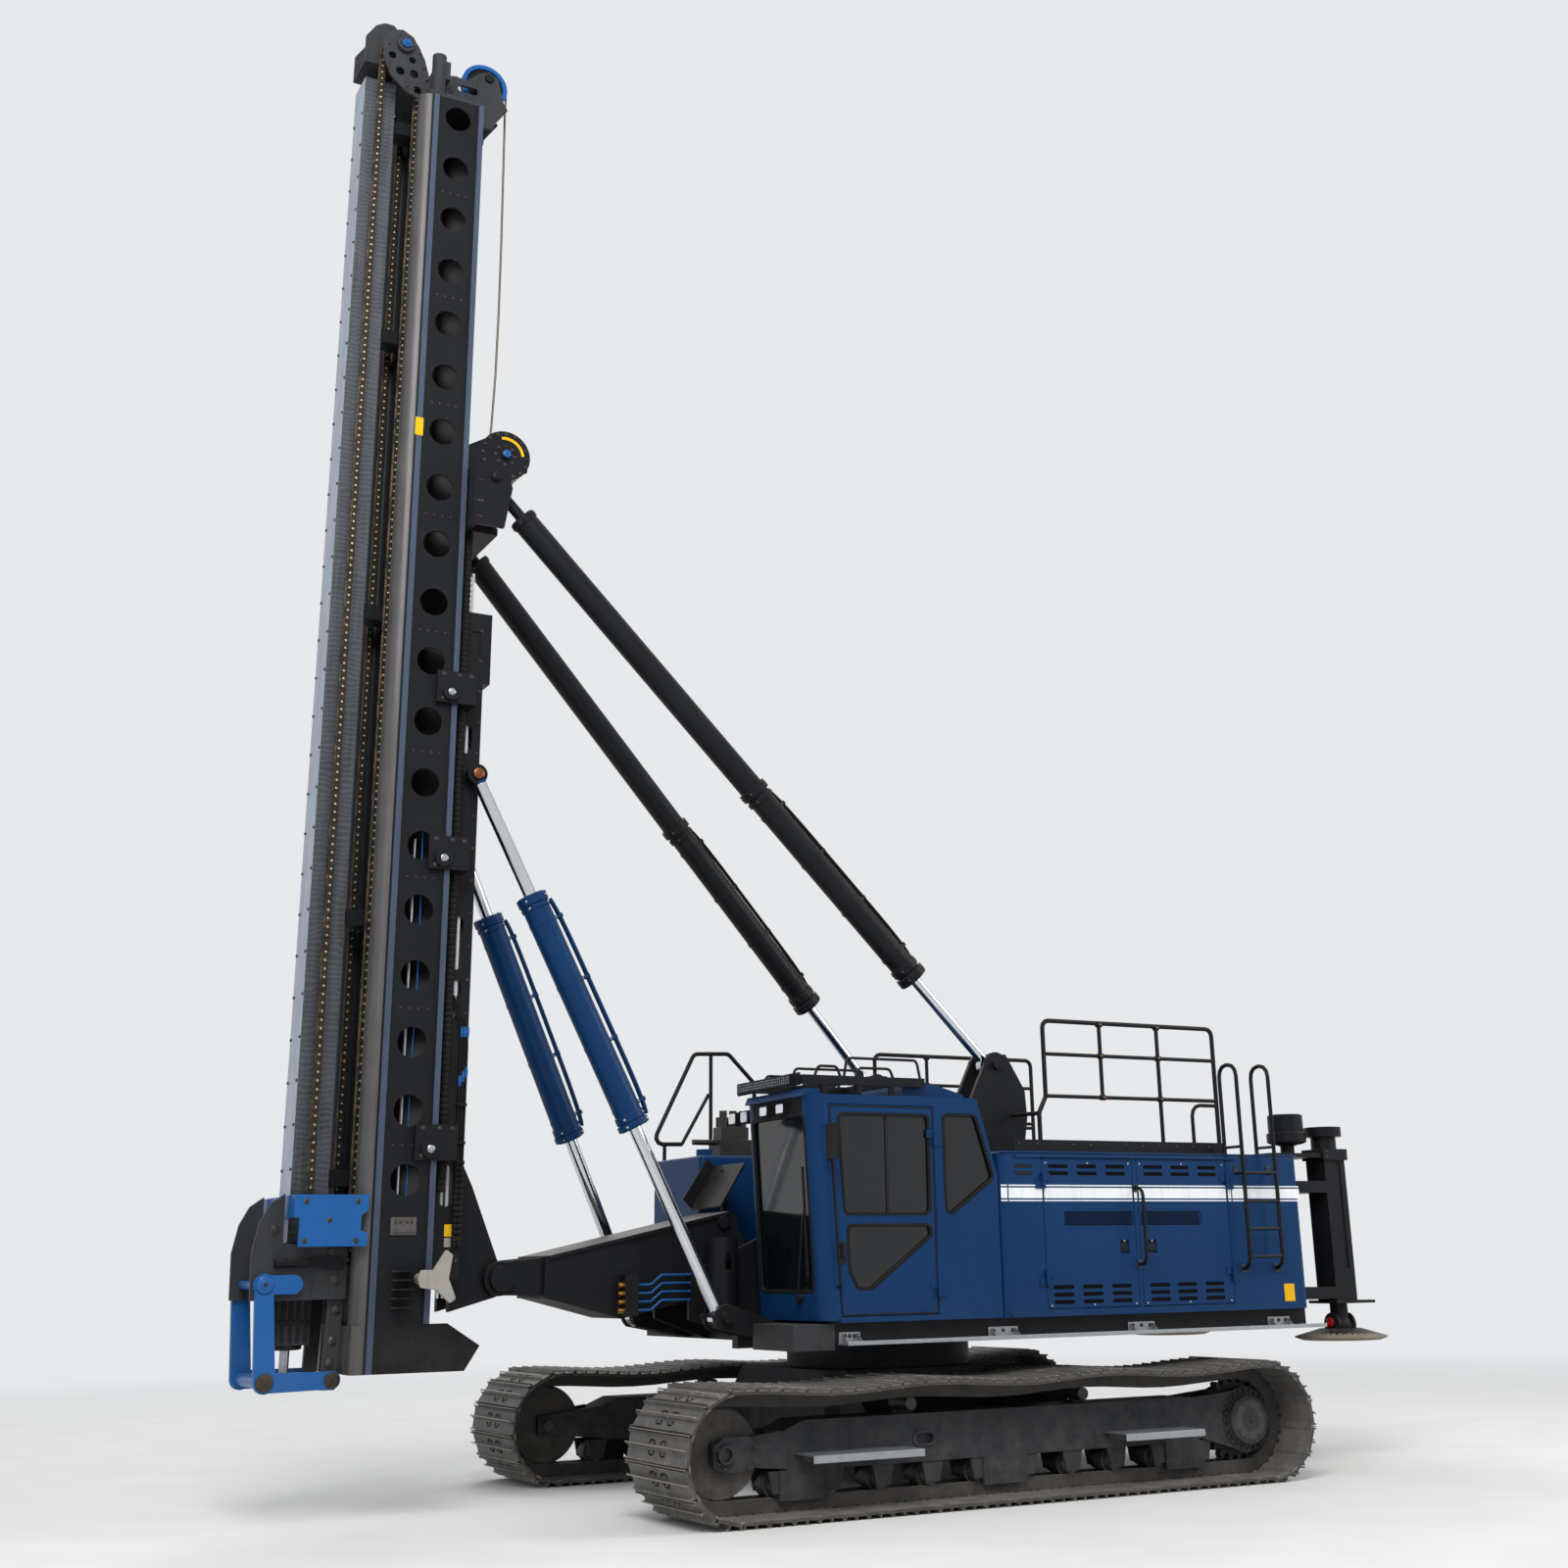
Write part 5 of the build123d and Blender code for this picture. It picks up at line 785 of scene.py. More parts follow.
# outlines of the cab's panes, of its door's gap and of its right pane
DOOR_HIGH = ((-1212, 2050), (-452, 2050), (-446, 2790), (-1258, 2790))
DOOR_LOW = ((-1189, 1968), (-452, 1968), (-452, 1888), (-984, 1512), (-1109, 1512), (-1176, 1640))
DOOR_GAP = ((-1250, 1320), (-403, 1320), (-403, 2855), (-1341, 2855))
QUARTER = ((-313, 2800), (-5, 2800), (145, 2320), (-252, 2050), (-306, 2072))
RIGHT_PANE = ((-1180, 1700), (-150, 1700), (-150, 2650), (-1240, 2650))
SCREEN = ((-1514, 1500), (-647, 1500), (-647, 2790), (-1514, 2790))
PANE_DEPTH = (-1643, -1627)
# the light bar's lamps: first place across, span and levels
BAR_Y, BAR_SPAN, BAR_LEVELS = -1405, 873, (3032, 3052, 3072)


def seal(shape, outline, radius, axis, depth, grip=13, lip=11):
    """A seal that covers a pane's edge: a lip outwards and a grip inwards."""
    shape.band(rounded(inset(outline, -lip), radius + lip), rounded(inset(outline, grip), radius - grip),
               axis, *depth)


class CabMaker(bpy.types.Operator):
    """Seals, lamp bowls and lenses, mirror glass and door handle of the cab."""

    bl_idname = "rig.cab"
    bl_label = "Cab details"

    def execute(self, context):
        seals = Shape()
        seal(seals, DOOR_HIGH, 45, "y", PANE_DEPTH)
        seal(seals, DOOR_LOW, 35, "y", PANE_DEPTH)
        seals.band(rounded(inset(DOOR_GAP, 4), 14), rounded(inset(DOOR_GAP, 15), 8), "y", -1641.5, -1638)
        seals.done("cab_door_seals", "cab_door", "pressed_rubber")
        seals = Shape()
        seal(seals, QUARTER, 45, "y", PANE_DEPTH)
        seal(seals, RIGHT_PANE, 45, "y", (-534, -518))
        seals.done("cab_side_seals", "upper", "pressed_rubber")
        seals = Shape()
        seal(seals, SCREEN, 45, "x", (-5, 12), 14, 14)
        seals.plate((-1490, -670), (2804, 2916), (-4, 4), 20, "x")
        for v in seals.bm.verts:
            v.co.x += front_x(v.co.z * 1000) / 1000
        seals.done("windscreen_seal", "upper", "pressed_rubber")
        bowls, glass, mirror, handle = Shape(), Shape(), Shape(), Shape()
        count = context.scene.rig.lamps
        for i in range(count):
            for z in BAR_LEVELS:
                bowls.stud((-1559.5, BAR_Y + i * BAR_SPAN / (count - 1), z), (-1, 0, 0),
                           ((0, 8.5), (3, 8.5), (4.5, 5)), 12)
        # the bowls' grey is partly painted shade from the light bar's grid
        bowls.done("light_bar_bowls", "upper", "bowl_reflector_painted_shade", edge=0)
        roof_x = front_x(2850)
        for y in (-1215, -935):
            glass.plate((y - 52, y + 52), (2814, 2880), (roof_x - 54, roof_x - 45), 12, "x")
        for y in (-400, -180):
            glass.plate((y - 52, y + 52), (2806, 2886), (-1449, -1439), 14, "x")
        glass.done("cab_lamp_lenses", "upper", "moulded_lens")
        mirror.plate((-1872, -1728), (2448, 2689), (-1388.2, -1385), 18, "x")
        mirror.done("mirror_glass", "upper", "silvered_glass")
        handle.plate((-1262, -1205), (1690, 1850), (-1645, -1637), 14)
        handle.plate((-1250, -1222), (1735, 1835), (-1672, -1658), 8)
        for z in (1745, 1825):
            handle.rod((-1236, -1644, z), (-1236, -1662, z), 8)
        handle.done("cab_door_handle", "cab_door", "moulded_plastic")
        return {"FINISHED"}


# name: top pin, foot pin, collars (start, radius, width), span of the pipes, pipe places round the barrel,
# reach and radius of the pipes, collar finish, pipe finish, bolt finish, pin's end, its radius and finish
STAYS = {
    "backstay": ((-3850, 560, 7930), (560, 1000, 3262),
                 ((392, 116, 60), (3340, 126, 80), (3440, 118, 50), (5300, 122, 70), (5388, 130, 78)),
                 (3480, 5290), (-0.35, 0.0, 0.35), 128, 9, "black_enamel", "pressed_rubber",
                 "oxide_bolt_steel", 700.3, 38, "black_enamel"),
    "luffing_cylinder": ((-3830, 430, 5455), (-1850, 800, 1316),
                         ((1064, 124, 70), (1140, 118, 40), (2920, 118, 60), (2985, 126, 48)),
                         (1160, 2970), (-0.11, 0.11), 160, 12, "sprayed_blue_enamel", "sprayed_blue_enamel",
                         "plated_bolt_steel", 490.3, 46, "drawn_copper"),
}
# width of the pipes' saddles and radius of the straps under them
SADDLE, STRAP_R = 34, 111


class CylinderMaker(bpy.types.Operator):
    """Collars, saddles, pipes, bolts and pin ends of the backstays and luffing cylinders."""

    bl_idname = "rig.cylinders"
    bl_label = "Cylinder details"

    def stay(self, name, side, hand):
        """Dresses one cylinder."""
        (top, foot, rings, (low, high), turns, reach, pipe_r, ring_finish, pipe_finish, bolt_finish,
         pin_y, pin_r, pin_finish) = STAYS[name]
        a = Vector((top[0], side * top[1], top[2]))
        b = Vector((foot[0], side * foot[1], foot[2]))
        body = f"{name}_barrel_{hand}"
        axis = (b - a).normalized()
        out = Vector((-axis.z, 0, axis.x)).normalized()
        wide = axis.cross(out)

        def lean(turn):
            """The way outwards at a turn round the barrel."""
            return out * cos(turn) + wide * sin(turn)

        dark, bolts, cap = Shape(), Shape(), Shape()
        for start, radius, width in rings:
            place = a + axis * start
            profile = ((0, radius - 6), (5, radius), (width - 5, radius), (width, radius - 6))
            dark.stud(place, axis, profile, 36)
            for k in range(4):
                way = lean(pi * k / 2 + 0.8)
                bolts.bolt(place + axis * (width / 2) + way * (radius - 1), way, 8)
        for k in range(4):
            centre = a + axis * (low + 120 + k * (high - low - 240) / 3)
            middle = centre + axis * (SADDLE / 2)
            dark.stud(centre, axis, ((0, STRAP_R), (SADDLE, STRAP_R)), 36)
            for turn in (turns[0] - 0.17, turns[-1] + 0.17):
                bolts.bolt(middle + lean(turn) * 110, lean(turn), 10)
            for turn in turns:
                dark.rod(middle + lean(turn) * 90, middle + lean(turn) * reach, 15)
                dark.stud(centre + lean(turn) * reach, axis, ((0, pipe_r + 5), (SADDLE, pipe_r + 5)), 20)
        dark.done(f"{name}_collars_{hand}", body, ring_finish)
        bolts.done(f"{name}_bolts_{hand}", body, bolt_finish)
        for k, turn in enumerate(turns):
            points = [a + axis * distance + lean(turn) * rise for distance, rise in (
                (low - 20, reach - 24), (low + 60, reach), ((low + high) / 2, reach + 2), (high - 60, reach),
                (high + 10, reach - 24))]
            line(f"{name}_pipe_{hand}_{k}", points, pipe_r, body, pipe_finish)
        cap.stud((a.x, side * pin_y, a.z), (0, side, 0), ((0, pin_r), (14, pin_r - 2), (18, pin_r - 10)), 28)
        cap.done(f"{name}_pin_end_{hand}", "cradle", pin_finish)
        return a, axis

    def execute(self, context):
        for side, hand in HANDS:
            for name in STAYS:
                top, axis = self.stay(name, side, hand)
            # the luffing cylinder's upper rod, from its pin to the barrel
            sleeve = Shape()
            sleeve.stud(top + axis * 84, axis, ((0, 53), (974, 53)), 40)
            sleeve.done(f"luffing_upper_rod_{hand}", f"luffing_cylinder_barrel_{hand}", "hard_chrome", 0)
        return {"FINISHED"}


ROPE = ((-3675, 12075), (-3676, 11800), (-3668, 11200), (-3660, 10500), (-3658, 9800), (-3664, 9200),
        (-3682, 8700), (-3704, 8427))
ROPE_STEPS = 12
WINCH = (-3680, 8270)
WINCH_Y = 400
DRUM_TURNS, ROPE_PITCH = 30, 22.5


class RopeMaker(bpy.types.Operator):
    """Hoist rope with its turns on the drum, and the winch's yellow arc, pin ends and bolts."""

    bl_idname = "rig.ropes"
    bl_label = "Rope and winch"

    def execute(self, context):
        rope = Shape()
        spots = [Vector(place) for place in ROPE]
        centres = [start.lerp(end, k / ROPE_STEPS) for start, end in zip(spots, spots[1:]) for k in
                   range(ROPE_STEPS)] + [spots[-1]]
        loops = [[rope.bm.verts.new(at(x, y, centre.y)) for x, y in circle(centre.x, 0, 10, 12)]
                 for centre in centres]
        for low, high in zip(loops, loops[1:]):
            for i in range(12):
                rope.bm.faces.new((low[i], high[i], high[(i + 1) % 12], low[(i + 1) % 12]))
        bmesh.ops.recalc_face_normals(rope.bm, faces=rope.bm.faces)
        piece = bpy.data.objects.new("hoist_rope", rope.mesh("hoist_rope"))
        context.scene.collection.objects.link(piece)
        piece.data.materials.append(finish_of("greased_rope_wire", context.scene.rig))
        for face in piece.data.polygons:
            face.use_smooth = True
        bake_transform(piece)
        drum, arc, pin, bolts = Shape(), Shape(), Shape(), Shape()
        for i in range(DRUM_TURNS):
            drum.stud((WINCH[0], -338 + i * ROPE_PITCH, WINCH[1]), (0, 1, 0),
                      ((0, 149), (5, 158), (11, 160), (17, 158), (22, 149)), 28)
        drum.done("drum_rope_turns", "winch_drum", "greased_rope_wire", edge=0)
        for side in (-1, 1):
            outer, inner = ([(WINCH[0] + r * cos(0.1 + k * 0.09), WINCH[1] + r * sin(0.1 + k * 0.09))
                             for k in range(20)] for r in (168, 142))
            arc.prism(outer + inner[::-1], "y", *both(side, WINCH_Y + 0.3, WINCH_Y + 2))
        pin.stud_pairs((WINCH, ), 425.3, ((0, 38), (20, 38), (24, 30)), 6)
        bolts.bolt_pairs(circle(*WINCH, 196, 16), WINCH_Y, 11)
        bolts.bolt_pairs(circle(*WINCH, 84, 8), WINCH_Y, 12)
        arc.done("winch_yellow_arc", "cradle", "yellow_film", edge=0)
        pin.done("winch_pin_ends", "winch_drum", "light_blue_enamel")
        bolts.done("winch_bolts", "cradle", "oxide_bolt_steel")
        return {"FINISHED"}


# levels of the clamps that hold the leader, and the hose lines' place beside the beam
CLAMPS = (6120, 4780, 2600)
HOSE_Y = -346


class CradleMaker(bpy.types.Operator):
    """Hose guard, bolts, clamp screws, inner pipes, and the hose lines with their sleeves and clips."""

    bl_idname = "rig.cradle"
    bl_label = "Cradle details"

    def execute(self, context):
        guard, bolts, screws = Shape(), Shape(), Shape()
        for z in range(2256, 7500, 46):
            if min(abs(z + 15 - level) for level in CLAMPS) > 160:
                guard.stud((-3965, -385, z), (0, 0, 1), ((0, 32.2), (3, 37), (27, 37), (30, 32.2)), 20)
        guard.done("hose_guard", "cradle", "pressed_rubber", edge=0)
        for z in CLAMPS:
            places = ((-4170, z - 100), (-4170, z + 100), (-4040, z + 100), (-3945, z + 100))
            bolts.bolt_pairs(places, 555, 13)
            screws.stud_pairs(((-4110, z - 50), ), 590, ((0, 30), (6, 30), (10, 22), (16, 20)), 20)
        bolts.bolt_pairs(grid((-3800, ), range(1760, 6800, 260)), 330, 9)
        bolts.bolt_pairs(grid((-3985, -3960), (7560, 7700, 7880)), 681, 9)
        bolts.done("cradle_bolts", "cradle", "oxide_bolt_steel")
        screws.done("clamp_screws", "cradle", "plated_bolt_steel")
        sleeves, ends, clips, wraps = Shape(), Shape(), Shape(), Shape()
        up = (0, 0, 1)
        for k in range(3):
            x, low_x, high_x = -3834 + 24 * k, -3830 + 20 * k, -3915 + 22 * k
            line(f"cradle_hose_line_{k}",
                 ((high_x, -300, 3720), (high_x + 10, -335, 3600), (x, HOSE_Y, 3500), (x, HOSE_Y, 3080),
                  (x, HOSE_Y, 2760), (low_x, HOSE_Y - 6, 2460)), 10, "cradle", "pressed_rubber")
            profile = ((0, 12), (24, 12), (26, 14), (52, 14), (54, 12), (78, 12))
            for z in (3400, 3030 + 34 * k):
                sleeves.stud((x, HOSE_Y, z), up, profile, 16)
            ends.stud((high_x, -300, 3700), up, ((0, 10), (150, 10)), 16)
        for z in (2880, 2600, 2120, 1900):
            clips.plate((-3852, -3774), (-331, -374), (z, z + 24), 14, "z")
        for z in range(1860, 2490, 42):
            for x in (-3830, -3793):
                wraps.stud((x, -353, z), up, ((0, 17), (6, 21), (30, 21), (36, 17)), 18)
        sleeves.done("cradle_hose_sleeves", "cradle", "light_blue_enamel", edge=0)
        ends.done("cradle_hose_ends", "cradle", "plated_bolt_steel", edge=0)
        clips.done("cradle_hose_clips", "cradle", "black_enamel")
        wraps.done("cradle_hose_wraps", "cradle", "pressed_rubber", edge=0)
        for k, (x, y) in enumerate(((-3925, -300), (-3880, -296))):
            line(f"cradle_inner_pipe_{k}", ((x, y, 1500), (x, y, 4000), (x, y, 7200)), 13, "cradle",
                 "white_pipe_enamel")
        return {"FINISHED"}


GATE_PIN = (-5204, 1620)
CARRIAGE_BOLTS = ((-4990, 1910), (-4990, 2180), (-4620, 1910), (-4620, 2180), (-4820, 2050))
# the cheeks' bolts on their collars: distance from the middle, places, collar's radius and bolt's size
CHEEK_BOLTS = ((290, ((-4662, 1438), (-4680, 1230), (-4690, 1080)), 34, 19),
               (335, ((-5150, 1990), (-4700, 1640)), 38, 20))
# the gate's lower pins: place and radius
GATE_FEET = ((-5160, 970, 62), (-4690, 970, 54))
MOTOR_Z = 1380


class FootMaker(bpy.types.Operator):
    """Bolts, pins, bars and strips of the pile guide, its gate, its motor and the chain carriage."""

    bl_idname = "rig.foot"
    bl_label = "Pile guide details"

    def execute(self, context):
        blue, rust, bolts, pins, bars, noses, strips = (Shape() for k in range(7))
        blue.stud_pairs((GATE_PIN, ), 385, ((0, 60), (16, 60), (22, 50)), 28)
        blue.stud_pairs((GATE_PIN, ), 407, ((0, 34), (6, 34), (9, 28)))
        bolts.stud_pairs((GATE_PIN, ), 416, ((0, 17), (4, 17)), 20)
        for y, places, r, size in CHEEK_BOLTS:
            bolts.stud_pairs(places, y, ((0, r), (4, r), (7, r - 4)))
            bolts.bolt_pairs(places, y + 7, size)
        pins.bolt_pairs(CARRIAGE_BOLTS, 560, 15)
        for side in (-1, 1):
            for x, z, r in GATE_FEET:
                rust.stud((x, side * 385, z), (0, side, 0), ((0, r), (11, r), (16, r - 8)), 28)
                # two thin marks crossed on the pin's face
                for turn in (-0.8, 0.8):
                    u, v = r * cos(turn), r * sin(turn)
                    rust.prism(((x - u, z - v), (x - u + 9, z - v), (x + u, z + v), (x + u - 9, z + v)), "y",
                               *both(side, 400, 406))
            bars.prism(rounded(((-4920, 1740), (-4660, 1705), (-4640, 1740), (-4660, 1800), (-4800, 1810),
                                (-4920, 1790)), 16), "y", *both(side, 333, 352))
            bars.stud((-5140, side * 350, 1765), (1, 0, 0), ((0, 20), (8, 32), (230, 32), (240, 26)), 24)
            for x in range(-5050, -4800, 55):
                bars.plate((x - 12, x + 12), (1225, 1495), both(side, 119, 134), 6)
            bars.plate((-5088, -4792), (1340, 1372), both(side, 119, 130), 8)
            noses.plate((-4601, -4492), (side * 300, side * 508), (1001, 1332), 26, "z")
            strips.block(-4490, -4444, *both(side, 499, 517.5), 1002, 1331)
        bars.stud((-4940, 0, 1205), (0, 0, -1), ((0, 116), (30, 116), (37, 96)), 32)
        rods, motor = Shape(), Shape()
        for y in (-55, 0, 55):
            rods.rod((-4940, y, 1175), (-4940, y, 1010), 22)
        motor.stud((-5080, 0, MOTOR_Z), (-1, 0, 0), ((0, 90), (40, 90), (52, 70), (70, 66)), 32)
        for y, z in circle(0, MOTOR_Z, 80, 8):
            motor.bolt((-5120, y, z), (-1, 0, 0), 9)
        noses.done("leader_foot_noses", "leader", "worn_nose_steel", edge=0)
        strips.done("leader_foot_strips", "leader", "blued_strip_steel")
        blue.done("gate_pin_caps", "guide_gate", "light_blue_enamel")
        rust.done("gate_foot_pins", "guide_gate", "rusted_pin_steel")
        bolts.done("pile_guide_bolts", "leader", "oxide_bolt_steel")
        pins.done("carriage_bolts", "carriage", "oxide_bolt_steel")
        bars.done("guide_motor_ribs", "leader", "black_enamel")
        rods.done("guide_motor_rods", "leader", "plated_bolt_steel")
        motor.done("guide_motor_cap", "leader", "black_enamel")
        return {"FINISHED"}


# where the crawler's link line runs: centres, height, radius, sag and number of shoes
TRACK_X, TRACK_Z, TRACK_R, TRACK_SAG, SHOES = 2334, 448, 400, 34, 61
TRACK_Y = 1682
TRACK_LONG = 2 * (2 * TRACK_X + pi * TRACK_R)
# a shoe's bolts: places across and along it, and height and sense of their heads under and over the plate
SHOE_ROWS, SHOE_STEPS, SHOE_FACES = (-132, -58, 58, 132), (-38, 30), ((-1, -1), (21.5, 1))
FRAME_BOLTS = ((-2385, 390), (-2335, 352), (-2155, 352), (-2105, 390), (-2385, 482), (-2105, 482))


def track_spot(s):
    """Place, way along and way outwards on the crawler's link line."""
    run, arc = 2 * TRACK_X, pi * TRACK_R
    if s < run:
        x, z, turn = s - TRACK_X, TRACK_Z - TRACK_R, 0.0
    elif s < run + arc:
        turn = (s - run) / TRACK_R
        x, z = TRACK_X + TRACK_R * sin(turn), TRACK_Z - TRACK_R * cos(turn)
    elif s < 2 * run + arc:
        t = (s - run - arc) / run
        turn = pi + TRACK_SAG * 3 * pi / run * sin(6 * pi * t)
        x, z = TRACK_X - t * run, TRACK_Z + TRACK_R - TRACK_SAG * (1 - cos(6 * pi * t)) / 2
    else:
        turn = pi + (s - 2 * run - arc) / TRACK_R
        x, z = -TRACK_X + TRACK_R * sin(turn), TRACK_Z - TRACK_R * cos(turn)
    return Vector((x, z)), Vector((cos(turn), sin(turn))), Vector((sin(turn), -cos(turn)))


class CrawlerMaker(bpy.types.Operator):
    """Bolts, lips, ridges and painted shade of the holes in the shoes, drive covers and plate bolts of the
    crawler.
    """

    bl_idname = "rig.crawler"
    bl_label = "Crawler details"

    def execute(self, context):
        pitch = TRACK_LONG / SHOES
        for side, hand in HANDS:
            shoes, lips, ridges, holes = Shape(), Shape(), Shape(), Shape()
            middle_y = side * TRACK_Y

            def bar(shape, spot, span, rise, reach, y=middle_y):
                """A bar across the shoe: its span along the track, its rise and half its length."""
                place, run, away = spot
                corners = [tuple(place + run * p + away * q) for p, q in (
                    (span[0], rise[0]), (span[1], rise[0]), (span[1], rise[1]), (span[0], rise[1]))]
                shape.prism(corners, "y", y - reach, y + reach)

            for i in range(SHOES):
                place, run, away = track_spot((i + 0.5) * pitch)
                for dy, step in grid(SHOE_ROWS, SHOE_STEPS):
                    for lift, sense in SHOE_FACES:
                        head = place + run * step + away * lift
                        way = away * sense
                        shoes.bolt((head.x, middle_y + dy, head.y), (way.x, 0, way.y), 10)
                spot = track_spot(i * pitch)
                bar(lips, spot, (-26, 26), (1, 11), 498)
                for ahead in (0, pitch / 2):
                    bar(ridges, spot, (ahead - 4, ahead + 4), (38, 47.8), 499)
                # near-black bars of painted shade stand for the holes in each shoe
                for ahead in (pitch / 4, -pitch / 4):
                    for dy in (-95, 95):
                        bar(holes, spot, (ahead - 11, ahead + 11), (20, 22.6), 34, middle_y + dy)
            shoes.done(f"track_bolts_{hand}", "crawler", "oxide_bolt_steel", edge=0)
            lips.done(f"shoe_lips_{hand}", "crawler", "muddy_track_steel", edge=0, smooth=False)
            ridges.done(f"shoe_ridges_{hand}", "crawler", "scoured_ridge_steel", edge=0, smooth=False)
            holes.done(f"shoe_hole_shades_{hand}", "crawler", "painted_recess_shade", edge=0, smooth=False)
        plate, bolts = Shape(), Shape()
        axle = (TRACK_X, TRACK_Z)
        plate.stud_pairs((axle, ), TRACK_Y + 190,
                         ((0, 190), (30, 190), (42, 178), (46, 60), (50, 56), (52, 40)), 48)
        bolts.stud_pairs(circle(*axle, 140, 4, 0.5), TRACK_Y + 235, ((0, 19), (4, 19), (5, 14)), 20)
        bolts.bolt_pairs((axle, ), TRACK_Y + 241, 16)
        bolts.bolt_pairs(circle(*axle, 222, 24), TRACK_Y + 185, 10)
        bolts.bolt_pairs(FRAME_BOLTS, TRACK_Y + 209, 11)
        plate.done("drive_covers", "crawler", "charcoal_enamel")
        bolts.done("crawler_bolts", "crawler", "oxide_bolt_steel")
        return {"FINISHED"}


# the jacks' forks and lamps: name, finish, stretches along X, height, profile and sides
JACK_Y = 1200
JACK_PIECES = (
    ("fork", "black_enamel", ((3950, 1), (4125, 1)), 1112, ((0, 96), (3, 100), (22, 100), (25, 96)), 36),
    ("lamp_ring", "black_enamel", ((3950, -1), ), 1130, ((0, 52), (12, 50), (14, 46)), 28),
    ("lamp", "red_lens", ((3937, -1), ), 1130, ((0, 44), (10, 43), (18, 34), (22, 16)), 28),
)
RAIL_Y = 1400
# stretches of the walkways' brackets along X
BRACKETS = ((-1240, -1060), (85, 359), (1434, 1703), (2901, 3141))
# foot plates of the house ladder and the grab rail
FOOT_PLATES = ((2620, 1600), (2975, 1600), (2620, 2400), (2975, 2400), (1535, 1650), (1535, 2250))
# name: body, finish, span, rise, depth and corner radius
TAGS = {
    "leader_yellow_tag": ("leader", "yellow_film", (-4504, -4436), (8250, 8410), (-519.5, -518), 8),
    "cradle_yellow_tag": ("cradle", "yellow_film", (-3900, -3832), (1935, 2022), (-332, -330.2), 6),
    "cradle_plain_tag": ("cradle", "primed_casting", (-3898, -3830), (1860, 1925), (-332, -330.2), 6),
}


class DeckMaker(bpy.types.Operator):
    """Jack forks with red lamps, deck bolts, foot plates, rail sleeves with yellow dots, and tags."""

    bl_idname = "rig.deck"
    bl_label = "Deck, jacks and rails"

    def execute(self, context):
        for side, hand in HANDS:
            for name, finish, starts, z, profile, sides in JACK_PIECES:
                shape = Shape()
                for x, sense in starts:
                    shape.stud((x, side * JACK_Y, z), (sense, 0, 0), profile, sides)
                shape.done(f"jack_{name}_{hand}", f"jack_{hand}", finish)
        bolts, yellow, sleeves = Shape(), Shape(), Shape()
        bolts.bolt_pairs(grid(range(540, 2700, 180), (2596, )), 1440, 8)
        bolts.bolt_pairs(grid((3946, 4154), (2540, 2584)), 1342, 9)
        for x0, x1 in BRACKETS:
            bolts.bolt_pairs(grid((x0 + 50, (x0 + x1) / 2, x1 - 50), (1182, )), 1569, 11)
        for x, y in grid(range(-1180, 3400, 150), (-HOUSE_SIDE, HOUSE_SIDE)):
            bolts.bolt((x, y, 1129.7), (0, 0, 1), 7)
        joints = grid((1442, 2055), (2993, 3337, 3600))
        yellow.stud_pairs(joints, RAIL_Y + 24, ((0, 6), (4, 5)), 10)
        for x, z in joints:
            for y in (-RAIL_Y, RAIL_Y):
                sleeves.stud((x - 24, y, z), (1, 0, 0), ((0, 24), (48, 24)), 16)
        for x, z in FOOT_PLATES:
            bolts.block(x - 22, x + 22, -1646, -1639.2, z - 34, z + 34)
            for dz in (-22, 22):
                bolts.bolt((x, -1646, z + dz), (0, -1, 0), 7)
        bolts.done("deck_bolts", "upper", "oxide_bolt_steel")
        sleeves.done("handrail_sleeves", "upper", "black_enamel")
        yellow.done("handrail_dots", "upper", "yellow_film", edge=0)
        for name, (body, finish, span, rise, depth, radius) in TAGS.items():
            tag = Shape()
            tag.plate(span, rise, depth, radius)
            tag.done(name, body, finish, edge=0)
        return {"FINISHED"}


# nodes whose finish differs from what their slot in the record gives
NODE_FINISH = {
    "guide_column": "greased_column_steel", "guide_strips": "blued_strip_steel",
    "head_sprockets": "grey_enamel", "leader_head": "grey_enamel", "pile_guide_frame": "grey_enamel",
    "side_frame_left": "charcoal_enamel", "side_frame_right": "charcoal_enamel",
    "carbody": "charcoal_enamel",
    "house_ladder": "black_enamel", "stay_bracket": "black_enamel", "stay_head": "black_enamel",
    "front_hood": "black_enamel",
}


def sheave_hub(p, n):
    """Whether a face belongs to the hub of the rope sheave."""
    return (p.x + 3.46) ** 2 + (p.z - 12.075) ** 2 < 0.17 ** 2


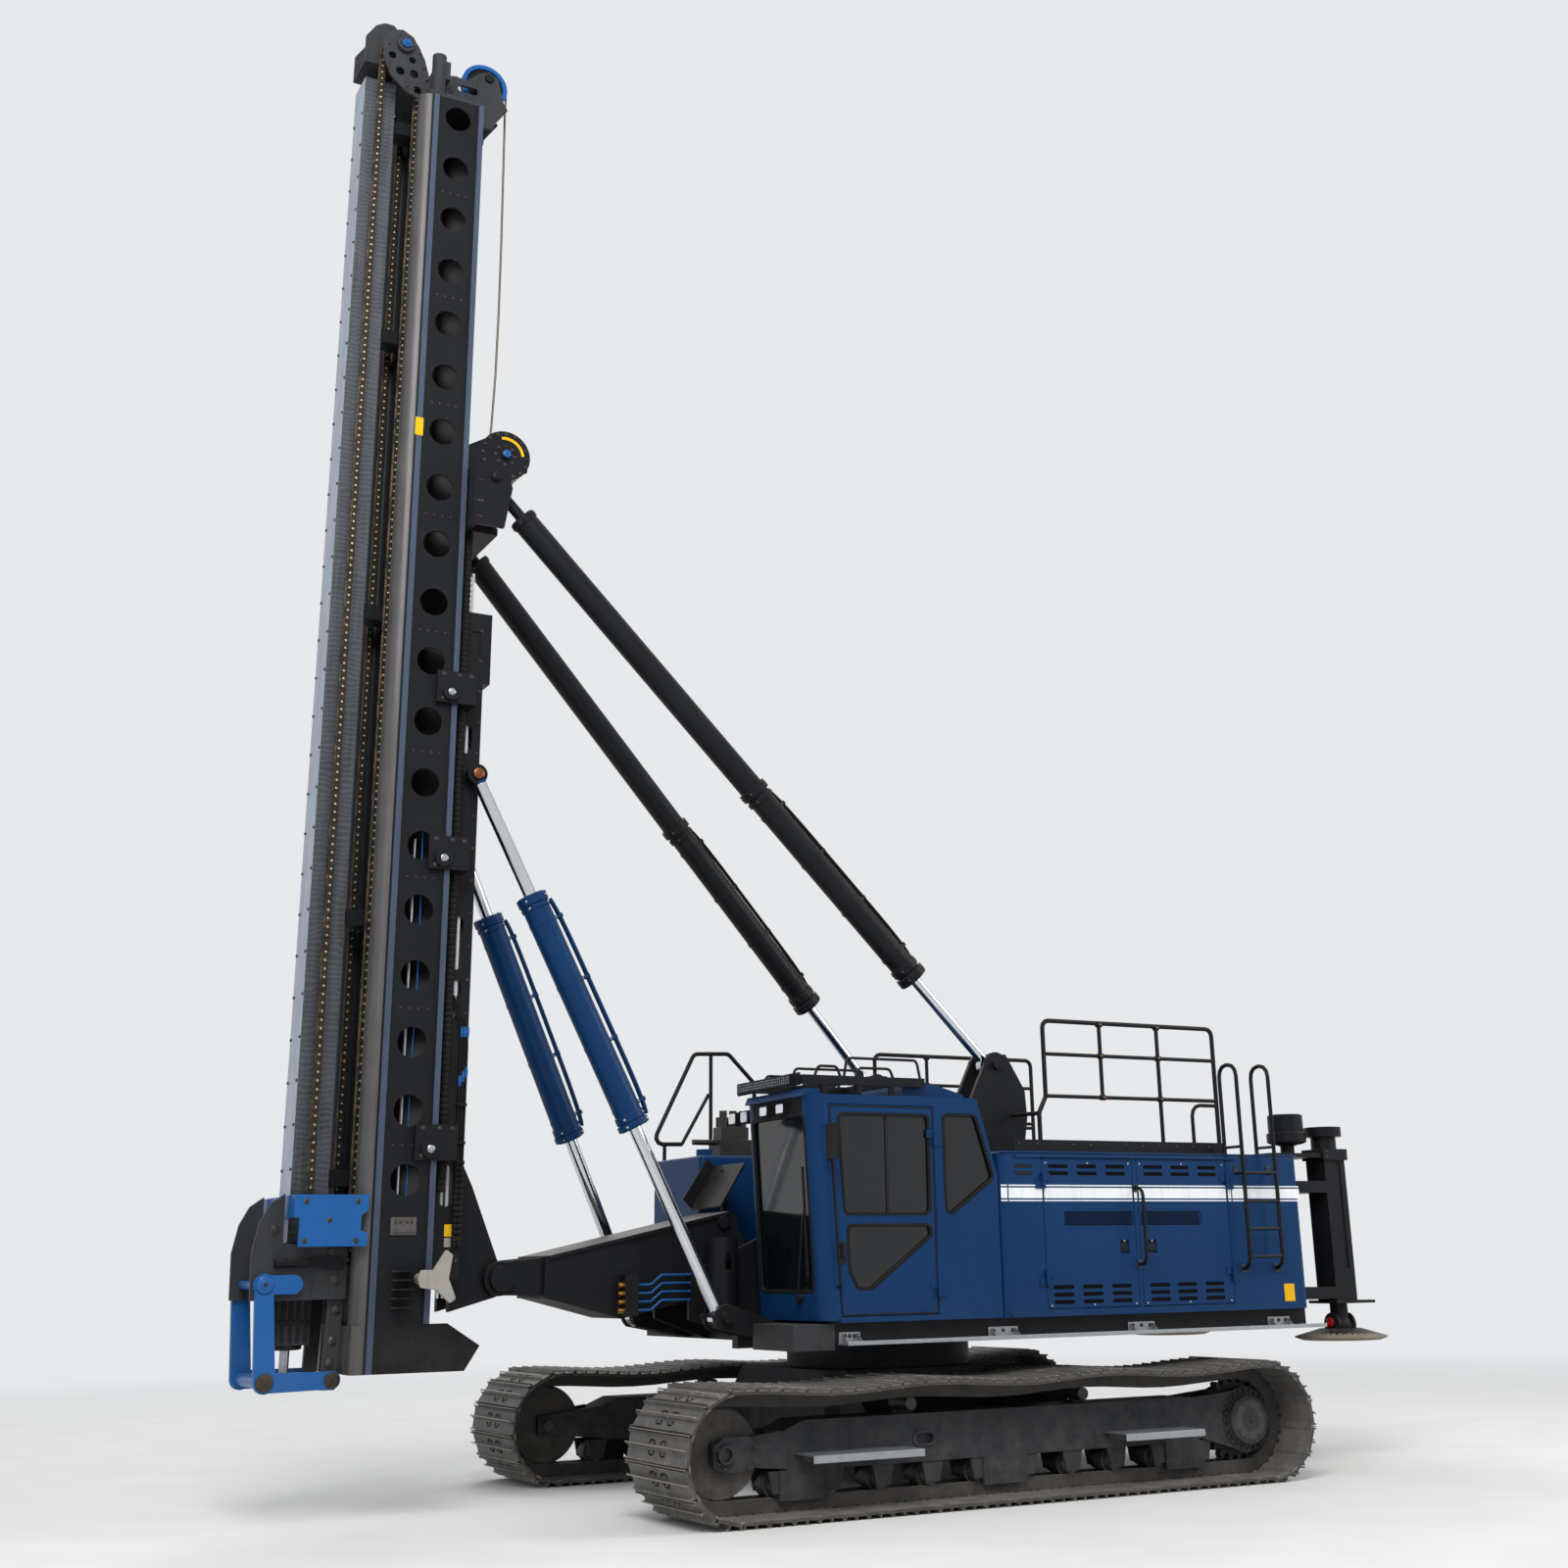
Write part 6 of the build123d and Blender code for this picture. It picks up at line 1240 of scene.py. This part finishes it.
# nodes some of whose faces have another finish: a test of the face's middle, in metres, and normal
FACE_FINISH = {
    "guide_column": ((lambda p, n: n.x < -0.9, "rubbed_guide_steel"),
                     (lambda p, n: p.x > -4.29, "black_enamel")),
    "leader_box": ((lambda p, n: p.x < -3.9 and n.x < -0.1 and abs(p.y) > 0.38, "worn_nose_steel"),
                   (lambda p, n: p.y < -0.535 and 1.35 < p.z < 1.95 and p.x > -3.79, "primed_casting")),
    "cab_door": ((lambda p, n: -0.41 < p.x < -0.384 and p.z > 2.04 and -1.6335 < p.y < -1.624,
                  "moulded_plastic"), ),
    "rope_sheave": ((sheave_hub, "black_enamel"), ),
    "valve_blocks": ((lambda p, n: p.z > 2.87, "plated_bolt_steel"),
                     (lambda p, n: p.z > 2.6, "oxide_bolt_steel"),
                     (lambda p, n: p.x > -1.93 and p.z < 1.7, "light_blue_enamel"),
                     (lambda p, n: p.x < -2.042 and p.z < 1.7, "turned_brass")),
    "cab_fittings": ((lambda p, n: p.x < -1.078 and p.z > 3.01 and n.x < -0.9, "moulded_plastic"), ),
}
for hand in ("left", "right"):
    FACE_FINISH[f"track_{hand}"] = ((lambda p, n: abs(n.y) > 0.7, "caked_link_steel"), )
    FACE_FINISH[f"jack_ram_{hand}"] = ((lambda p, n: p.z < 1.04, "caked_pad_steel"), )
    FACE_FINISH[f"luffing_cylinder_barrel_{hand}"] = ((lambda p, n: p.z > 5.36, "black_enamel"), )

OPERATORS = [StageMaker, FinishMaker, ChainMaker, LeaderMaker, HouseMaker, CabMaker, CylinderMaker,
             RopeMaker, CradleMaker, FootMaker, CrawlerMaker, DeckMaker]


class RigPanel(bpy.types.Panel):
    """Lists the settings and every step."""

    bl_idname = "RIG_PT_steps"
    bl_label = "Pile driving rig"
    bl_space_type = "VIEW_3D"
    bl_region_type = "UI"
    bl_category = "Rig"

    def draw(self, context):
        for name in RigSettings.__annotations__:
            self.layout.prop(context.scene.rig, name)
        for kind in OPERATORS:
            self.layout.operator(kind.bl_idname)


CLASSES = [RigSettings, *OPERATORS, RigPanel]


def register():
    for kind in CLASSES:
        bpy.utils.register_class(kind)
    bpy.types.Scene.rig = bpy.props.PointerProperty(type=RigSettings)


def unregister():
    del bpy.types.Scene.rig
    for kind in reversed(CLASSES):
        bpy.utils.unregister_class(kind)


def main():
    register()
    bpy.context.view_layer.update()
    for kind in OPERATORS:
        group, name = kind.bl_idname.split(".")
        getattr(getattr(bpy.ops, group), name)()


if __name__ == "__main__":
    main()
